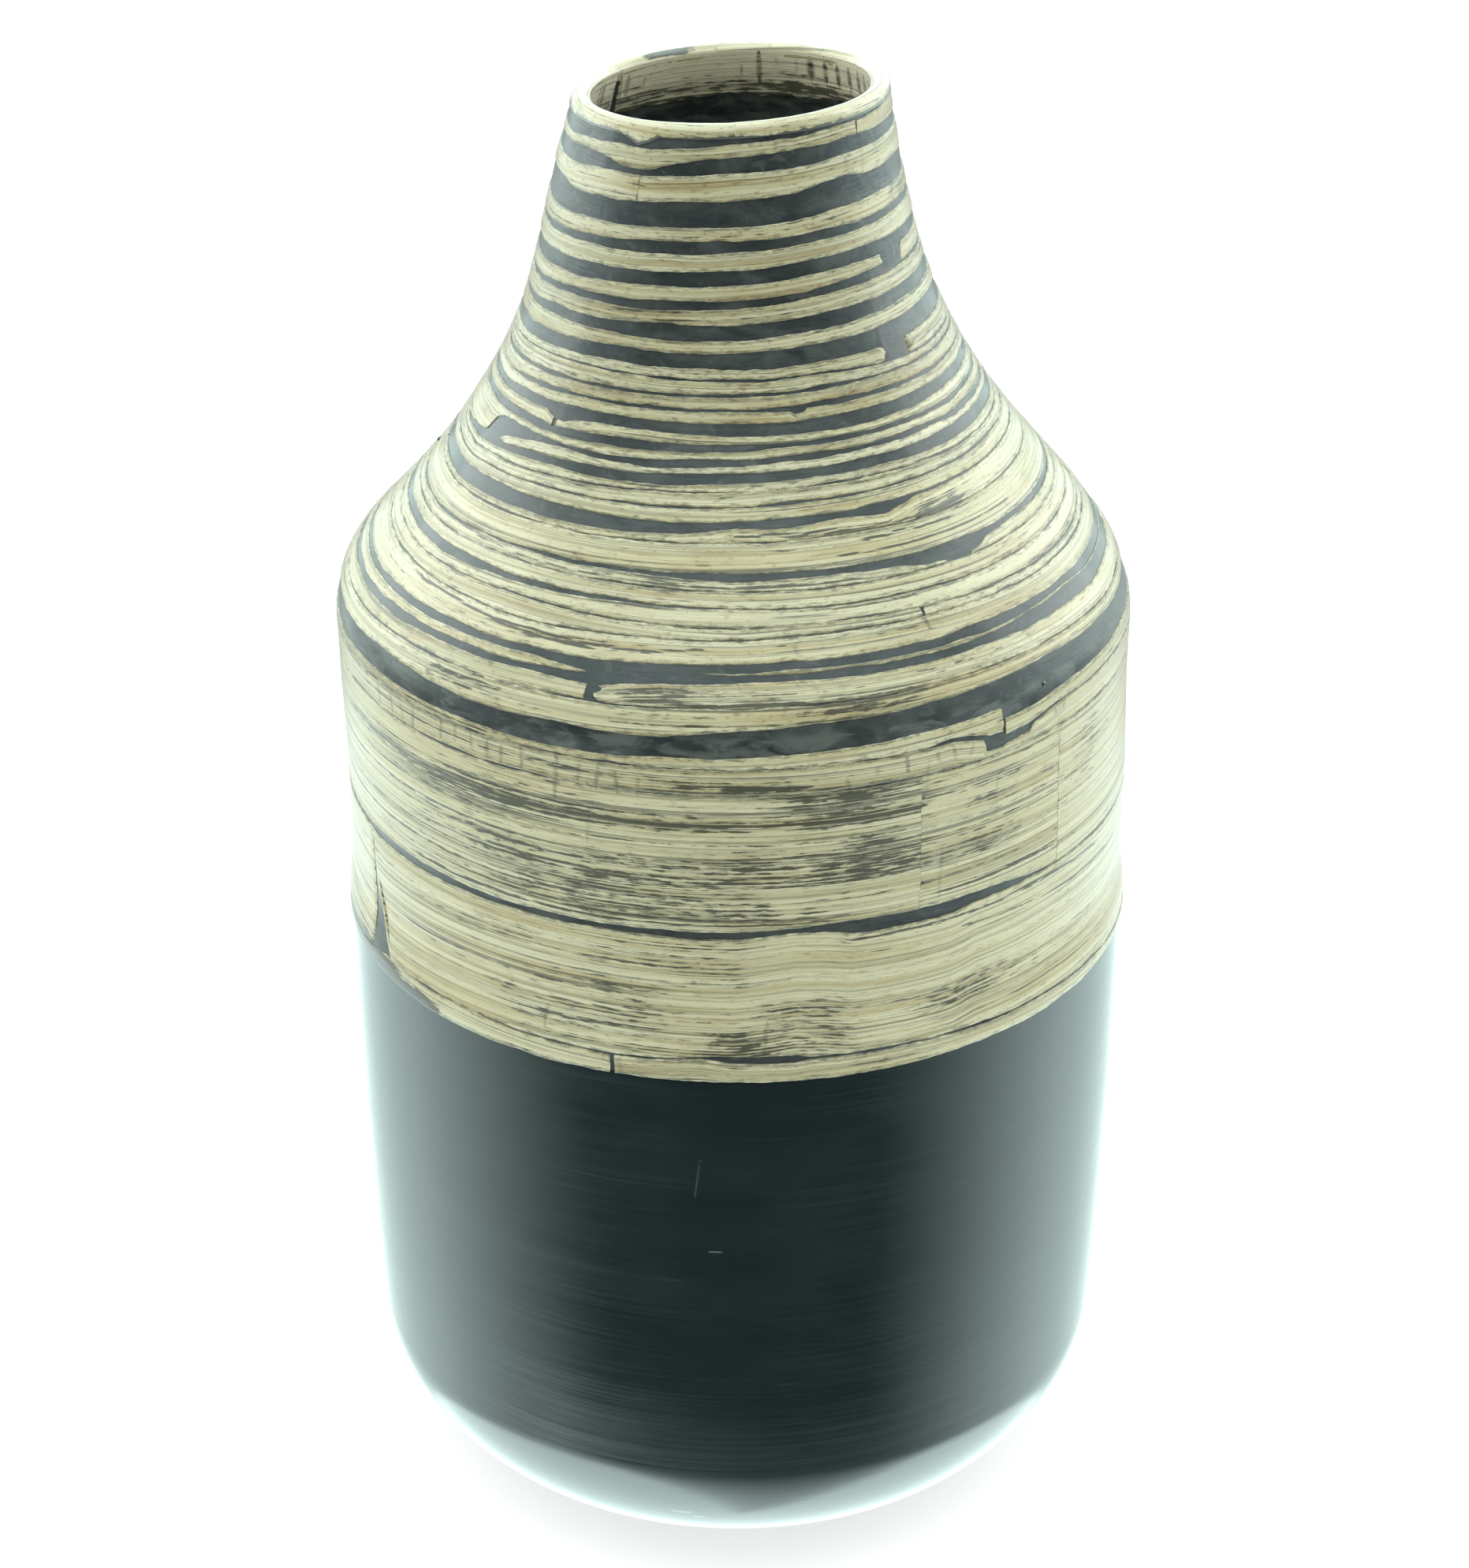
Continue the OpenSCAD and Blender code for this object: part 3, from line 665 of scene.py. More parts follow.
    "shoulder_strip_15": {"joint": (-21.4, -19.9), "ragged_start": 1.2, "edges": [
        (-70, 147.5, 151), (-60, 147.3, 150.5), (-50, 146.5, 150.1), (-40, 146.3, 149.9), (-30, 145.7, 149.8),
        (-21, 145.9, 149.7), (-19.5, 145.8, 149.6), (-15, 144.7, 149.4), (-10, 143.8, 149.3), (0, 143.1, 149),
        (10, 143, 148.8), (30, 143, 148.5), (50, 143, 148.3), (60, 143.2, 148.5), (70, 143.7, 149)]},
    "shoulder_strip_16": {"joint": (110, 110.5), "edges": [
        (-70, 151.1, 156), (-60, 150.6, 155.2), (-50, 150.2, 155.5), (-40, 150, 156.3), (-30, 149.9, 156),
        (-25, 149.8, 155.5), (-20, 149.8, 156), (-10, 149.4, 156), (0, 149.1, 154), (10, 148.9, 153.3),
        (20, 148.8, 152.9), (30, 148.6, 152.5), (38, 148.5, 152), (45, 148.4, 151.7), (50, 148.4, 151.3),
        (60, 148.6, 151.7), (70, 149.1, 152)]},
    "belly_strip_01": {"joint": (38.8, 39.4), "edges": [
        (-70, 161, 163.5), (-60, 161, 163.4), (-50, 161.3, 163.4), (-40, 161.3, 163.3), (-30, 161.8, 163.3),
        (-20, 161.5, 163.2), (-10, 160.7, 163.2), (0, 160.5, 163.2), (10, 159.7, 163.1), (20, 159.4, 163.1),
        (26, 159.1, 163), (28, 159.1, 162.4), (30, 159, 162), (33, 158.9, 162.8), (35.6, 158.9, 164),
        (36.4, 158.8, 164.4), (38.8, 158.8, 164.6), (39.4, 161.3, 165.7), (43.8, 161, 165.3),
        (45, 160.8, 164.7), (48, 160.5, 163.9), (50, 160.1, 163.4), (60, 159.2, 163.2), (70, 158.7, 163)]},
    "belly_strip_02": {"joint": (-130.4, -130), "edges": [
        (-70, 163.6, 170.2), (-60, 163.5, 170.1), (-50, 163.5, 170.1), (-40, 163.4, 170.1),
        (-20, 163.3, 170.1), (0, 163.3, 170.1), (20, 163.2, 170), (26, 163.2, 170), (28, 163.1, 170),
        (30, 163, 170), (33, 164, 170), (35.6, 164.9, 170), (36, 168.3, 170), (38.9, 168.6, 170.3),
        (39.6, 168.1, 170.2), (44, 167.4, 170.1), (44.8, 165.4, 170.1), (48, 164.5, 170), (51, 163.6, 170),
        (60, 163.3, 170), (70, 163.1, 169.9)]},
    "belly_strip_03": {"joint": (-17.3, -16.75), "edges": [
        (-70, 246.6, 249.9), (-65, 245.8, 249.9), (-60, 244.2, 249.9), (-40, 243.9, 249.9),
        (-20, 244.6, 249.9), (-15, 244.6, 249.9), (-5, 243.3, 249.9), (0, 244.4, 249.9), (8, 244.6, 249.9),
        (10, 244.1, 249.9), (25, 244.2, 249.9), (40, 245, 249.9), (50, 245.4, 249.9), (60, 246, 249.9),
        (70, 247.1, 249.9)]},
}

# Edges of the panels as azimuth and reading, each panel's upper and lower one
UPPER_TOP = [(-70, 170.5), (0, 170.3), (70, 170.2)]
PANEL_LOW = [
    (-70, 209.4), (-60, 208.7), (-50, 208.3), (-40, 208.2), (-20, 207.8), (0, 207.5), (10, 206.8),
    (15, 206.5), (30, 206.7), (35, 206.5), (40, 206.7), (45, 208.2), (50, 208.6), (60, 208.9), (70, 209.4),
]
LOWER_PANEL_TOP = [
    (-70, 210.4), (-60, 211), (-50, 210.5), (-40, 210), (-20, 209.5), (0, 209.8), (8, 208.2), (12, 208.8),
    (16, 210.2), (25, 210.5), (31, 210.5), (35, 209.2), (45, 209.1), (50, 208.9), (60, 209.2), (70, 209.8),
]
LOWER_PANEL_END = [
    (-70, 246.3), (-65, 245.2), (-60, 243.9), (-40, 243.6), (-20, 244.2), (-15, 244.2), (-5, 242.8),
    (0, 242.5), (8, 242.7), (10, 243.2), (20, 243.7), (28, 243.9), (40, 244.6), (50, 245), (60, 245.6),
    (70, 246.8),
]

# Dark streaks in the bamboo: from azimuth, to azimuth, from reading, to reading, strength. A negative
# strength makes the bamboo paler. The paler patches round the belly beyond 42 degrees from the front,
# and those from azimuth -65 to -45 on the lower panels, are painted light on the vase's sides.
PATCHES = [
    (12, 25, 170, 195, 0.10), (-50, -30, 180, 195, 0.09), (30, 42, 175, 200, 0.11), (-20, 0, 188, 206, 0.08),
    (-70, 0, 177.5, 180, 0.12), (-35, 10, 199, 204, 0.08), (8, 25, 172, 176, 0.12), (17, 25, 184, 195, 0.10),
    (-20, 0, 210, 225, 0.09), (-34, -13, 226, 242, 0.11), (4, 14, 228, 241, 0.12), (28, 55, 231, 240, 0.09),
    (-62, -20, 175, 198, 0.06), (-46, -38, 150.5, 153, 0.14), (-15, -5, 151, 153.5, 0.12),
    (15, 25, 148.4, 149.8, 0.14), (8, 25, 150, 151, 0.14), (-13, 3, 147.2, 148.3, 0.1),
    (-180, 180, 208, 245, -0.03), (51, 60, 170, 190, 0.1), (40, 47, 105.5, 107.3, 0.22),
    (-23, -10, 118.4, 120.4, 0.14), (-2, 30, 120, 134, 0.05), (-65, -45, 208, 245, -0.05),
    (-30, 20, 45, 50, -0.03), (-2, 0, 237, 243, 0.16), (26, 29, 165, 205, -0.1), (47, 51.5, 165, 205, -0.1),
    # The patch from azimuth -30 to 25 at readings 238 to 250 darkens the lowest strip and the panels' lower
    # ends: partly their brown streaks, partly painted shade along the rounded lower edge
    (-12, 8, 165, 174, 0.05), (-30, 25, 238, 250, 0.05), (-180, -42, 165, 245, -0.04),
    (42, 180, 165, 245, -0.04), (-80, -61, 245.5, 250, 0.25), (-80, -63, 236, 246, 0.1),
    (-65, -20, 164, 170, 0.03), (-14, 10, 182, 193, 0.05),
]

# Lacquer that has run over the bamboo: from azimuth, to azimuth, from reading, to reading
SMEARS = [(-76, -60, 245.4, 252), (-62, -50, 247.6, 252)]

# Thin dark lines along the fibre: from azimuth, to azimuth, reading at each, half width in mm, strength
LINES = [
    (-13, 8, 148.5, 148.4, 0.3, 0.6), (-10, -2, 146.9, 146.9, 0.2, 0.5), (-75, 26, 179.3, 178.2, 0.35, 0.6),
    (-60, 24, 175.8, 175, 0.25, 0.42), (-70, 20, 184.5, 183.5, 0.22, 0.4),
    (-75, 25, 188.5, 187.3, 0.25, 0.42), (-55, 25, 190.8, 190, 0.2, 0.4), (-40, 24, 193, 192.3, 0.25, 0.42),
    (-68, 22, 196.3, 195.3, 0.22, 0.4), (-75, 26, 201, 199.8, 0.3, 0.45), (-60, 10, 203.8, 203, 0.22, 0.42),
    (30, 48, 203.2, 202.8, 0.3, 0.55), (-50, 12, 206.3, 205.6, 0.3, 0.45),
    (-50, -37, 162.3, 162.3, 0.22, 0.6), (16, 50, 211.7, 211.3, 0.3, 0.5), (50, 62, 211.3, 212.7, 0.3, 0.5),
    (33, 70, 215, 218.4, 0.28, 0.5), (-60, -15, 136, 136.6, 0.22, 0.6), (-40, -24, 137, 137.4, 0.3, 0.6),
    (-15, -6, 136.6, 135.4, 0.22, 0.6), (0, 20, 106.5, 106.5, 0.22, 0.6), (10, 40, 107.2, 107.2, 0.22, 0.55),
    (25, 43, 109.8, 109.8, 0.25, 0.6), (20, 60, 113, 113, 0.2, 0.55), (-60, 20, 119.6, 119.5, 0.2, 0.45),
    (14, 47, 126, 126, 0.22, 0.45), (-22, -12, 125.6, 125.5, 0.25, 0.45), (0, 8, 168.3, 168.4, 0.5, 0.75),
    (-6, 3, 167.8, 167.6, 0.3, 0.6), (-28, -18, 166, 166.2, 0.25, 0.4), (-62, -35, 166.4, 166.8, 0.2, 0.35),
    (28, 48, 172.5, 171.8, 0.2, 0.3),
]

# Upright kink marks in the bamboo: azimuth, from reading, to reading, strength
KINKS = [
    (-58.5, 164.5, 169.5, 0.5), (-55, 163.8, 169.5, 0.55), (-52.5, 164, 169, 0.45), (-49.7, 163.8, 170, 0.6),
    (-43.7, 163.6, 169, 0.55), (-41, 164, 168.5, 0.4), (-38, 163.6, 169, 0.45), (-35.3, 164, 169.5, 0.55),
    (-33, 164.5, 170, 0.45), (-29.7, 163.5, 170, 0.6), (-24.5, 162.8, 175, 0.65), (-21.2, 164.5, 170.5, 0.5),
    (-18.6, 164.5, 171, 0.55), (-15.9, 165, 171.5, 0.5), (-13, 166, 171.5, 0.3), (7, 166.5, 169.5, 0.3),
    (15, 167, 171, 0.5), (19, 165, 168, 0.3), (23.3, 163.6, 168.5, 0.6), (28, 164.3, 167.5, 0.45),
    (30.6, 163.8, 168, 0.5), (33.4, 165, 168, 0.4), (49.5, 163, 167, 0.4), (51.5, 163.5, 167, 0.4),
    (26.4, 166, 177, 0.25), (50.7, 164, 185, 0.22), (-53, 131.6, 133.8, 0.5), (30.6, 131, 135.4, 0.8),
    (9, 134, 137, 0.4), (-20, 176, 186, 0.25), (4, 233, 242, 0.35), (-27, 234, 241, 0.45),
    (-56, 111.8, 113.4, 0.5), (41, 18.5, 23.2, 0.35), (49, 18.2, 24, 0.35), (13.5, 12.6, 15.4, 0.3),
    (-15.9, 244.8, 249.4, 0.35), (46, 105.2, 107.6, 0.5), (28.8, 190, 205, 0.25), (38, 176, 188, 0.25),
]

# The upright seam of the lower panels opens downwards: reading and degrees
SEAM_SHAPE = [(209, 0), (220, 0.2), (226, 0.8), (231, 2.0), (236, 3.2), (239, 4.2), (245, 6.5)]

# Lower edge of the pale band under the lip
RIM_BAND = [
    (-70, 12), (-60, 11.5), (-50, 11.7), (-40, 13), (-35, 14.5), (-30, 13), (-25, 11), (-20, 10.8),
    (-10, 9.9), (0, 9.5), (20, 9.2), (40, 9), (50, 8), (60, 7.5), (70, 7.3),
]
# Azimuths between which the joint of the lining lies open
LINING_GAP = (230.6, 237.6)
# Kink marks in the lining: azimuth, from and to depth below the lip in mm, half width in mm, strength
LINING_KINKS = [
    (170.4, 0, 9, 0.42, 0.95), (177.8, 4, 7, 0.25, 0.7), (153.8, 2.5, 5, 0.3, 0.3),
    (146.9, 1, 7.5, 0.65, 1.0), (139.1, 1.5, 7.5, 0.5, 0.95), (131.8, 2, 8, 0.5, 0.9),
    (123.9, 2, 8, 0.55, 0.9), (116.4, 2, 8, 0.6, 0.9), (110.1, 2, 8, 0.6, 0.85), (103, 2, 8, 0.5, 0.7),
    (163, 1.5, 3, 0.25, 0.3), (228, 2, 8, 0.5, 0.6), (244, 2, 9, 0.5, 0.7), (247, 3, 9.5, 0.4, 0.6),
    (219, 4, 7, 0.25, 0.35), (12, 1, 8, 0.3, 0.7), (45, 1, 7, 0.3, 0.7), (330, 2, 8, 0.3, 0.6),
]

# How softly patches, smears and lines end, in degrees and in readings
PATCH_SOFT = (6, 2.5)
SMEAR_SOFT = (5, 1.2)
LINE_SOFT = 3
# The most that patches, smears and lines darken the bamboo
PATCH_MOST = 0.2
SMEAR_MOST = 0.75
LINE_MOST = 0.62

# Columns of a strip: their distance in mm, and where more of them lie round a kink mark, in columns
COLUMN_STEP = 0.55
NEAR_KINK = np.array([-0.55, -0.3, -0.14, 0.0, 0.14, 0.3, 0.55])
# Over a gap in the readings that is wider than this, in degrees, edges run on in a smooth bend
WIDE_GAP = 60

# Edges of the strips in mm: how far they wander, how wide they turn down, where the rows of points lie
# on that turn and from where on they are even, and the least width of a strip
RAG = 0.2
EDGE_TURN = 0.28
EDGE_ROWS = np.array([0.0, 0.05, 0.14, 0.28])
EDGE_CLEAR = 0.45
LEAST_WIDTH = 0.12
# The very tip of a rounded end keeps the root of this share of its width
LEAST_SHARE = 0.02
# Ends torn at least this much are worn down to the lacquer, by so much and over so far, in mm
WORN_TEAR = 0.5
WORN_DEPTH = 0.26
WORN_LENGTH = 1.3
# A piece whose start has its own shape takes it over so many degrees
SHAPED_START = 14
# How dark the underside is, and what edge says where no edge is near, in mm
UNDER_DARK = 0.15
NO_EDGE = 2.0
# How far an end of a strip and of a panel is torn in mm, if nothing else is said
STRIP_TEAR = 0.25
PANEL_TEAR = 0.2
# Panels: half the seam between two, and the distance of their columns, in degrees
SEAM_GAP = 0.02
PANEL_STEP = 0.42
# The first strip's random seed, and the step to the next one's
FIRST_SEED = 20
SEED_STEP = 11
BAMBOO = {"neck": NECK_BAMBOO, "shoulder": SHOULDER_BAMBOO, "belly": BELLY_BAMBOO}

# The lacquered core: the azimuths of its columns, how far down the wall its neck ends, and how far it
# stays away from the black body and from the top of the lip, in mm
SHELL_AZ = np.arange(480) * 360 / 480
NECK_END = 46
BODY_GAP = 0.6
NECK_CLEAR = 0.4
# Over so many degrees the end of the ripple blends into its start
RIPPLE_JOIN = 30
# How worn the ground is everywhere, in its wide band and on a stretch of the shoulder
GROUND_LEAST_WORN = 0.12
BAND_WORN = 0.7
SHOULDER_WORN = 0.3

# The black body: columns, rows of corner and wall, steps of the foot and unevenness in mm
BODY_COLUMNS = 360
CORNER_ROWS = 40
WALL_ROWS = 70
FOOT_STEPS = np.array([0, 3, 7])
UNEVEN = 0.12

# The rim: columns, rows of its side and round the lip, and the radius that its grain follows
RIM_COLUMNS = 720
RIM_SIDE_ROWS = 10
RIM_RING_ROWS = 25
RIM_ARC_R = 39
# From where to where its section turns, in degrees, and from where it counts as inside
RIM_TURN = (13, 205)
RIM_INNER_A = 1.75
# Its least band, how far it reaches under the strips and into the mouth, and below the top, in mm
RIM_LEAST = 0.9
RIM_UNDER = 0.4
RIM_BACK = 1.4
LIP_CLEAR = 0.02
# The dark patch on the lip: azimuths, softness and strength
RIM_PATCH = (204, 213, 7)
RIM_DARK = 0.62

# The lining: columns, rows, the radius that its grain follows, height, place under the lip in mm
LINING_COLUMNS = 900
LINING_ROWS = 34
LINING_ARC_R = 36
LINING_H = 12.4
LINING_TOP = 1.5
LINING_SUNK = 0.2
# How far its ends are bowed at the joint, and over what length
LINING_BOW = 1.4
LINING_BOW_LENGTH = 6

# The drops: sides, and how deep they are sunk in the ground, in mm
DROP_SIDES = 16
DROP_SUNK = 0.3


def edge_lines(edges):
    """Azimuths from the first reading on, once round, and the readings there."""
    again = (edges[0][0] + 360, *edges[0][1:])
    return [np.array(column, float) for column in zip(*edges, again)]


def smooth_interp(x, xs, ys):
    """Interpolates the readings: straight between near ones, and with a smooth bend over a wide gap."""
    i = np.clip(np.searchsorted(xs, x, side="right") - 1, 0, len(xs) - 2)
    t = np.clip((x - xs[i]) / (xs[i + 1] - xs[i]), 0, 1)
    wide = (xs[i + 1] - xs[i]) > WIDE_GAP
    t = np.where(wide, (1 - np.cos(np.pi * t)) / 2, t)
    return ys[i] * (1 - t) + ys[i + 1] * t


def round_az(az, start):
    """The same azimuth counted on from start."""
    return (np.asarray(az, float) - start) % 360 + start


def line_at(az, xs, ys):
    """Millimetres down the wall of a line of readings, at each azimuth."""
    return way_of(smooth_interp(round_az(az, xs[0]), xs, ys))


def columns_between(start, end, step, extra):
    """Azimuths from start to end, about step apart, with more of them round each extra one."""
    count = max(8, math.ceil((end - start) / step))
    az = [np.linspace(start, end, count + 1)]
    for a in extra:
        near = round_az(a, start)
        if start + 1 < near < end - 1:
            az.append(near + NEAR_KINK * step)
    az = np.unique(np.round(np.concatenate(az), 4))
    return az[(az >= start) & (az <= end)]


def marked(az, read, mark, soft):
    """1 within a mark's azimuths and readings, and 0 away from it."""
    a0, a1, r0, r1 = mark[:4]
    return soft_box(az, a0, a1, soft[0]) * soft_box(read, r0, r1, soft[1])


def paint(az, read):
    """How dark the marks above make the bamboo at each point: mostly lacquer, with some painted light and
    painted shade among them.
    """
    front = round_az(az, -180)
    dark = np.zeros_like(front)
    for patch in PATCHES:
        dark = dark + patch[4] * marked(front, read, patch, PATCH_SOFT)
    dark = np.minimum(dark, PATCH_MOST)
    for smear in SMEARS:
        dark = np.maximum(dark, SMEAR_MOST * marked(front, read, smear, SMEAR_SOFT))
    for a0, a1, r0, r1, half, strength in LINES:
        middle = r0 + (r1 - r0) * np.clip((front - a0) / (a1 - a0), 0, 1)
        middle = middle + wave(front, int(a0 * 7 + r0) % 997, 5, 0.15)
        across = np.clip(1.6 - np.abs(read - middle) * READ_UNIT / half, 0, 1)
        dark = np.maximum(dark, LINE_MOST * strength * soft_box(front, a0, a1, LINE_SOFT) * across)
    return dark


def kink_marks(az, read):
    """How dark the upright kink marks are at each point: each a slim, slightly leaning lens."""
    front = round_az(az, -180)
    kink = np.zeros_like(front)
    for a, r0, r1, strength in KINKS:
        middle = (r0 + r1) / 2
        r = wall(way_of(middle))[0]
        share = np.clip((read - middle) / (r1 - r0) * 2, -1, 1)
        lean = math.sin(a * 5.3) * 0.45 * share + wave(read, int(abs(a) * 9) % 991, 1.2, 0.12)
        half = 0.22 + 0.3 * np.sqrt(1 - share ** 2)
        lens = np.clip(1.5 - np.abs(np.radians(front - a) * r + lean) / half, 0, 1)
        kink = np.maximum(kink, strength * lens * ((read > r0) & (read < r1)))
    return kink


def kinks_within(low, high):
    """Azimuths of the kink marks that reach between two readings."""
    return [a for a, r0, r1, _ in KINKS if r0 < high and r1 > low]


def strip_section(width):
    """Places across a strip from 0 to 1, close together where its edges turn down."""
    inner = max(3, round((width - 0.6) / 0.5))
    middle = np.linspace(EDGE_CLEAR, width - EDGE_CLEAR, inner)
    return np.concatenate([EDGE_ROWS, middle, width - EDGE_ROWS[::-1]]) / width


def split_edge(arc, seed, short_seed):
    """How far an edge wanders as the bamboo splits: fine tears, long waves and short ones."""
    tears = wave(arc, seed, 1.1, RAG * 0.35)
    return tears + wave(arc, seed + 1, 8, RAG) + wave(arc, short_seed, 3, RAG * 0.5)


def end_shift(az, arc, u, way, width, seed, torn, slant, start_shape):
    """How far the points near the ends of a strip are shifted along it, in mm."""
    shift = np.zeros_like(way)
    for side, size in ((0, torn[0]), (-1, torn[1])):
        across = u * width[side]
        tear_seed = seed + 7 - side
        tear = wave(across, tear_seed, 1.5, size) + wave(across, tear_seed + 5, 0.8, size * 0.6)
        shift = shift + tear * np.clip(1 - np.abs(arc - arc[side]) / (2.5 * size), 0, 1)
    if slant:
        shift = shift + (0.5 - u) * slant * np.clip(1 - np.abs(arc - arc[0]) / (3 * slant), 0, 1)
    if start_shape:
        reads, turns = zip(*start_shape)
        open_by = np.interp(way / READ_UNIT + READ_LIP, reads, turns)
        ragged = wave(way, seed + 10, 1.6, 0.22) * np.clip(open_by, 0, 1.5)
        mm_a_degree = (arc[-1] - arc[0]) / (az[-1] - az[0])
        reach = np.clip(1 - (az - az[0]) / SHAPED_START, 0, 1)
        shift = shift + (open_by + ragged) * mm_a_degree * reach
    return shift


def band_piece(name, az, top, end, seed, material, torn, slant=0.0, lift=0.0, start_shape=None):
    """A bent strip of bamboo from the first azimuth to the last, between two lines of way down the wall."""
    mean_r = float(np.mean(wall((top + end) / 2)[0]))
    az, grain_top, end = az[:, None], top[:, None], end[:, None]
    arc = np.radians(az) * mean_r
    top = grain_top + split_edge(arc, seed, seed + 8)
    width = np.maximum(end + split_edge(arc, seed + 2, seed + 9) - top, LEAST_WIDTH)
    u = strip_section(max(1.6, float(np.median(width))))
    way = top + u * width

    from_edge = np.minimum(u, 1 - u) * width
    fall = EDGE_TURN - np.sqrt(np.maximum(EDGE_TURN ** 2 - np.maximum(EDGE_TURN - from_edge, 0) ** 2, 0))
    bulge = wave(arc, seed + 4, 34, 0.05) + wave(arc, seed + 5, 55, 0.09) * (u - 0.5)
    grooves = field(arc / 45, way / 0.55 + seed, seed + 6, 0.035)
    depth = STRIP_D + lift + bulge + grooves - fall
    for side, size in ((0, torn[0]), (-1, torn[1])):
        if size >= WORN_TEAR or (side == 0 and start_shape):
            depth = depth - WORN_DEPTH * np.clip(1 - np.abs(arc - arc[side]) / WORN_LENGTH, 0, 1) ** 2
    shift = end_shift(az, arc, u, way, width, seed, torn, slant, start_shape)
    outer_az = az + np.degrees(shift / mean_r)

    feet = max(2, int(np.max(width) / 4) + 1)
    back = np.linspace(1, 0, feet)
    under_way = top + back * width
    under_az = outer_az[:, -1:] * back + outer_az[:, :1] * (1 - back)
    points = np.concatenate([on_wall(outer_az, way, depth), on_wall(under_az, under_way, UNDER_D)], 1)

    read = way / READ_UNIT + READ_LIP
    bare = np.zeros_like(under_way)
    under_dark = bare + UNDER_DARK
    under_dark[[0, -1]] = 0.0
    under_edge = bare.copy()
    under_edge[[0, -1]] = NO_EDGE
    along = np.radians(np.concatenate([outer_az, under_az], 1)) * mean_r
    return mesh_piece(
        name, points, tube_faces(len(az), len(u) + feet, False), material,
        wrap=wrap_of(along, np.concatenate([way, under_way], 1) - grain_top, seed * 3.7),
        dark=np.concatenate([paint(outer_az, read), under_dark], 1),
        edge=np.concatenate([from_edge, under_edge], 1),
        kink=np.concatenate([kink_marks(outer_az, read), bare], 1),
    )


def round_ends(az, top, end, start_size, end_size):
    """Narrows the strip towards its ends, over some degrees."""
    middle = (top + end) / 2
    half = (end - top) / 2
    for size, from_end in ((start_size, az - az[0]), (end_size, az[-1] - az)):
        if size:
            t = np.clip(from_end / size, 0, 1)
            half = half * np.sqrt(np.clip(1 - (1 - t) ** 2, LEAST_SHARE, 1))
    return middle - half, middle + half


def strip_piece(node, spec, seed, material):
    """A strip wound once round the vase, from its joint to its joint."""
    joint_end, joint_start = spec["joint"]
    xs, tops, ends = edge_lines(spec["edges"])
    step = math.degrees(COLUMN_STEP / wall(way_of(np.mean(tops)))[0])
    az = columns_between(joint_start, joint_end + 360, step, kinks_within(min(tops), max(ends)))
    top, end = line_at(az, xs, tops), line_at(az, xs, ends)
    top, end = round_ends(az, top, end, spec.get("round_start", 0), spec.get("round_end", 0))
    torn = (spec.get("ragged_start", STRIP_TEAR), spec.get("ragged_end", STRIP_TEAR))
    piece = band_piece(
        node + "_bamboo", az, top, np.minimum(end, WOUND_L), seed, material, torn, slant=spec.get("slant", 0),
    )
    stand_for(node)


def panel_piece(node, az_from, az_to, tops, ends, seed, torn_end=0.2, **shape):
    """A wide flattened panel of the belly, with a seam at either end."""
    az = columns_between(az_from + SEAM_GAP, az_to - SEAM_GAP, PANEL_STEP, kinks_within(165, 250))
    top = line_at(az, *edge_lines(tops))
    end = line_at(az, *edge_lines(ends))
    piece = band_piece(node + "_bamboo", az, top, end, seed, BELLY_BAMBOO, (PANEL_TEAR, torn_end), **shape)
    stand_for(node)


def ground_ripple(az, way):
    """How uneven the lacquer ground is: broad bumps and fine ones."""
    return field(az / 6, way / 5, 11, 0.06) + field(az / 1.5, way / 1.6, 12, 0.03)


def shell_piece(name, node, way_from, way_to, rows):
    """A lacquered stretch of the core, closed in section: outer face with the ground's depth, inner face."""
    az = SHELL_AZ[:, None]
    start = np.reshape(way_from, (-1, 1)) + np.zeros_like(az)
    way = start + (way_to - start) * np.linspace(0, 1, rows)
    inner_way = start + (way_to - start) * np.linspace(1, 0, max(6, rows // 8))
    share = np.clip((az - (360 - RIPPLE_JOIN)) / RIPPLE_JOIN, 0, 1)
    ripple = ground_ripple(az, way) * (1 - share) + ground_ripple(az - 360, way) * share
    outer = on_wall(az, way, GROUND_D + ripple)
    points = np.concatenate([outer, on_wall(az, inner_way, -WALL_T)], 1)
    read = way / READ_UNIT + READ_LIP
    worn = BAND_WORN * soft_box(read, 156, 161.5, 0.8) * soft_box(round_az(az, -180), -75, 75, 20)
    worn = worn + GROUND_LEAST_WORN + SHOULDER_WORN * soft_box(read, 119, 135, 2)
    faces = tube_faces(len(az), points.shape[1], True)
    piece = mesh_piece(
        name, points, faces, GROUND, worn=np.concatenate([worn, np.ones_like(inner_way)], 1),
    )
    stand_for(node)


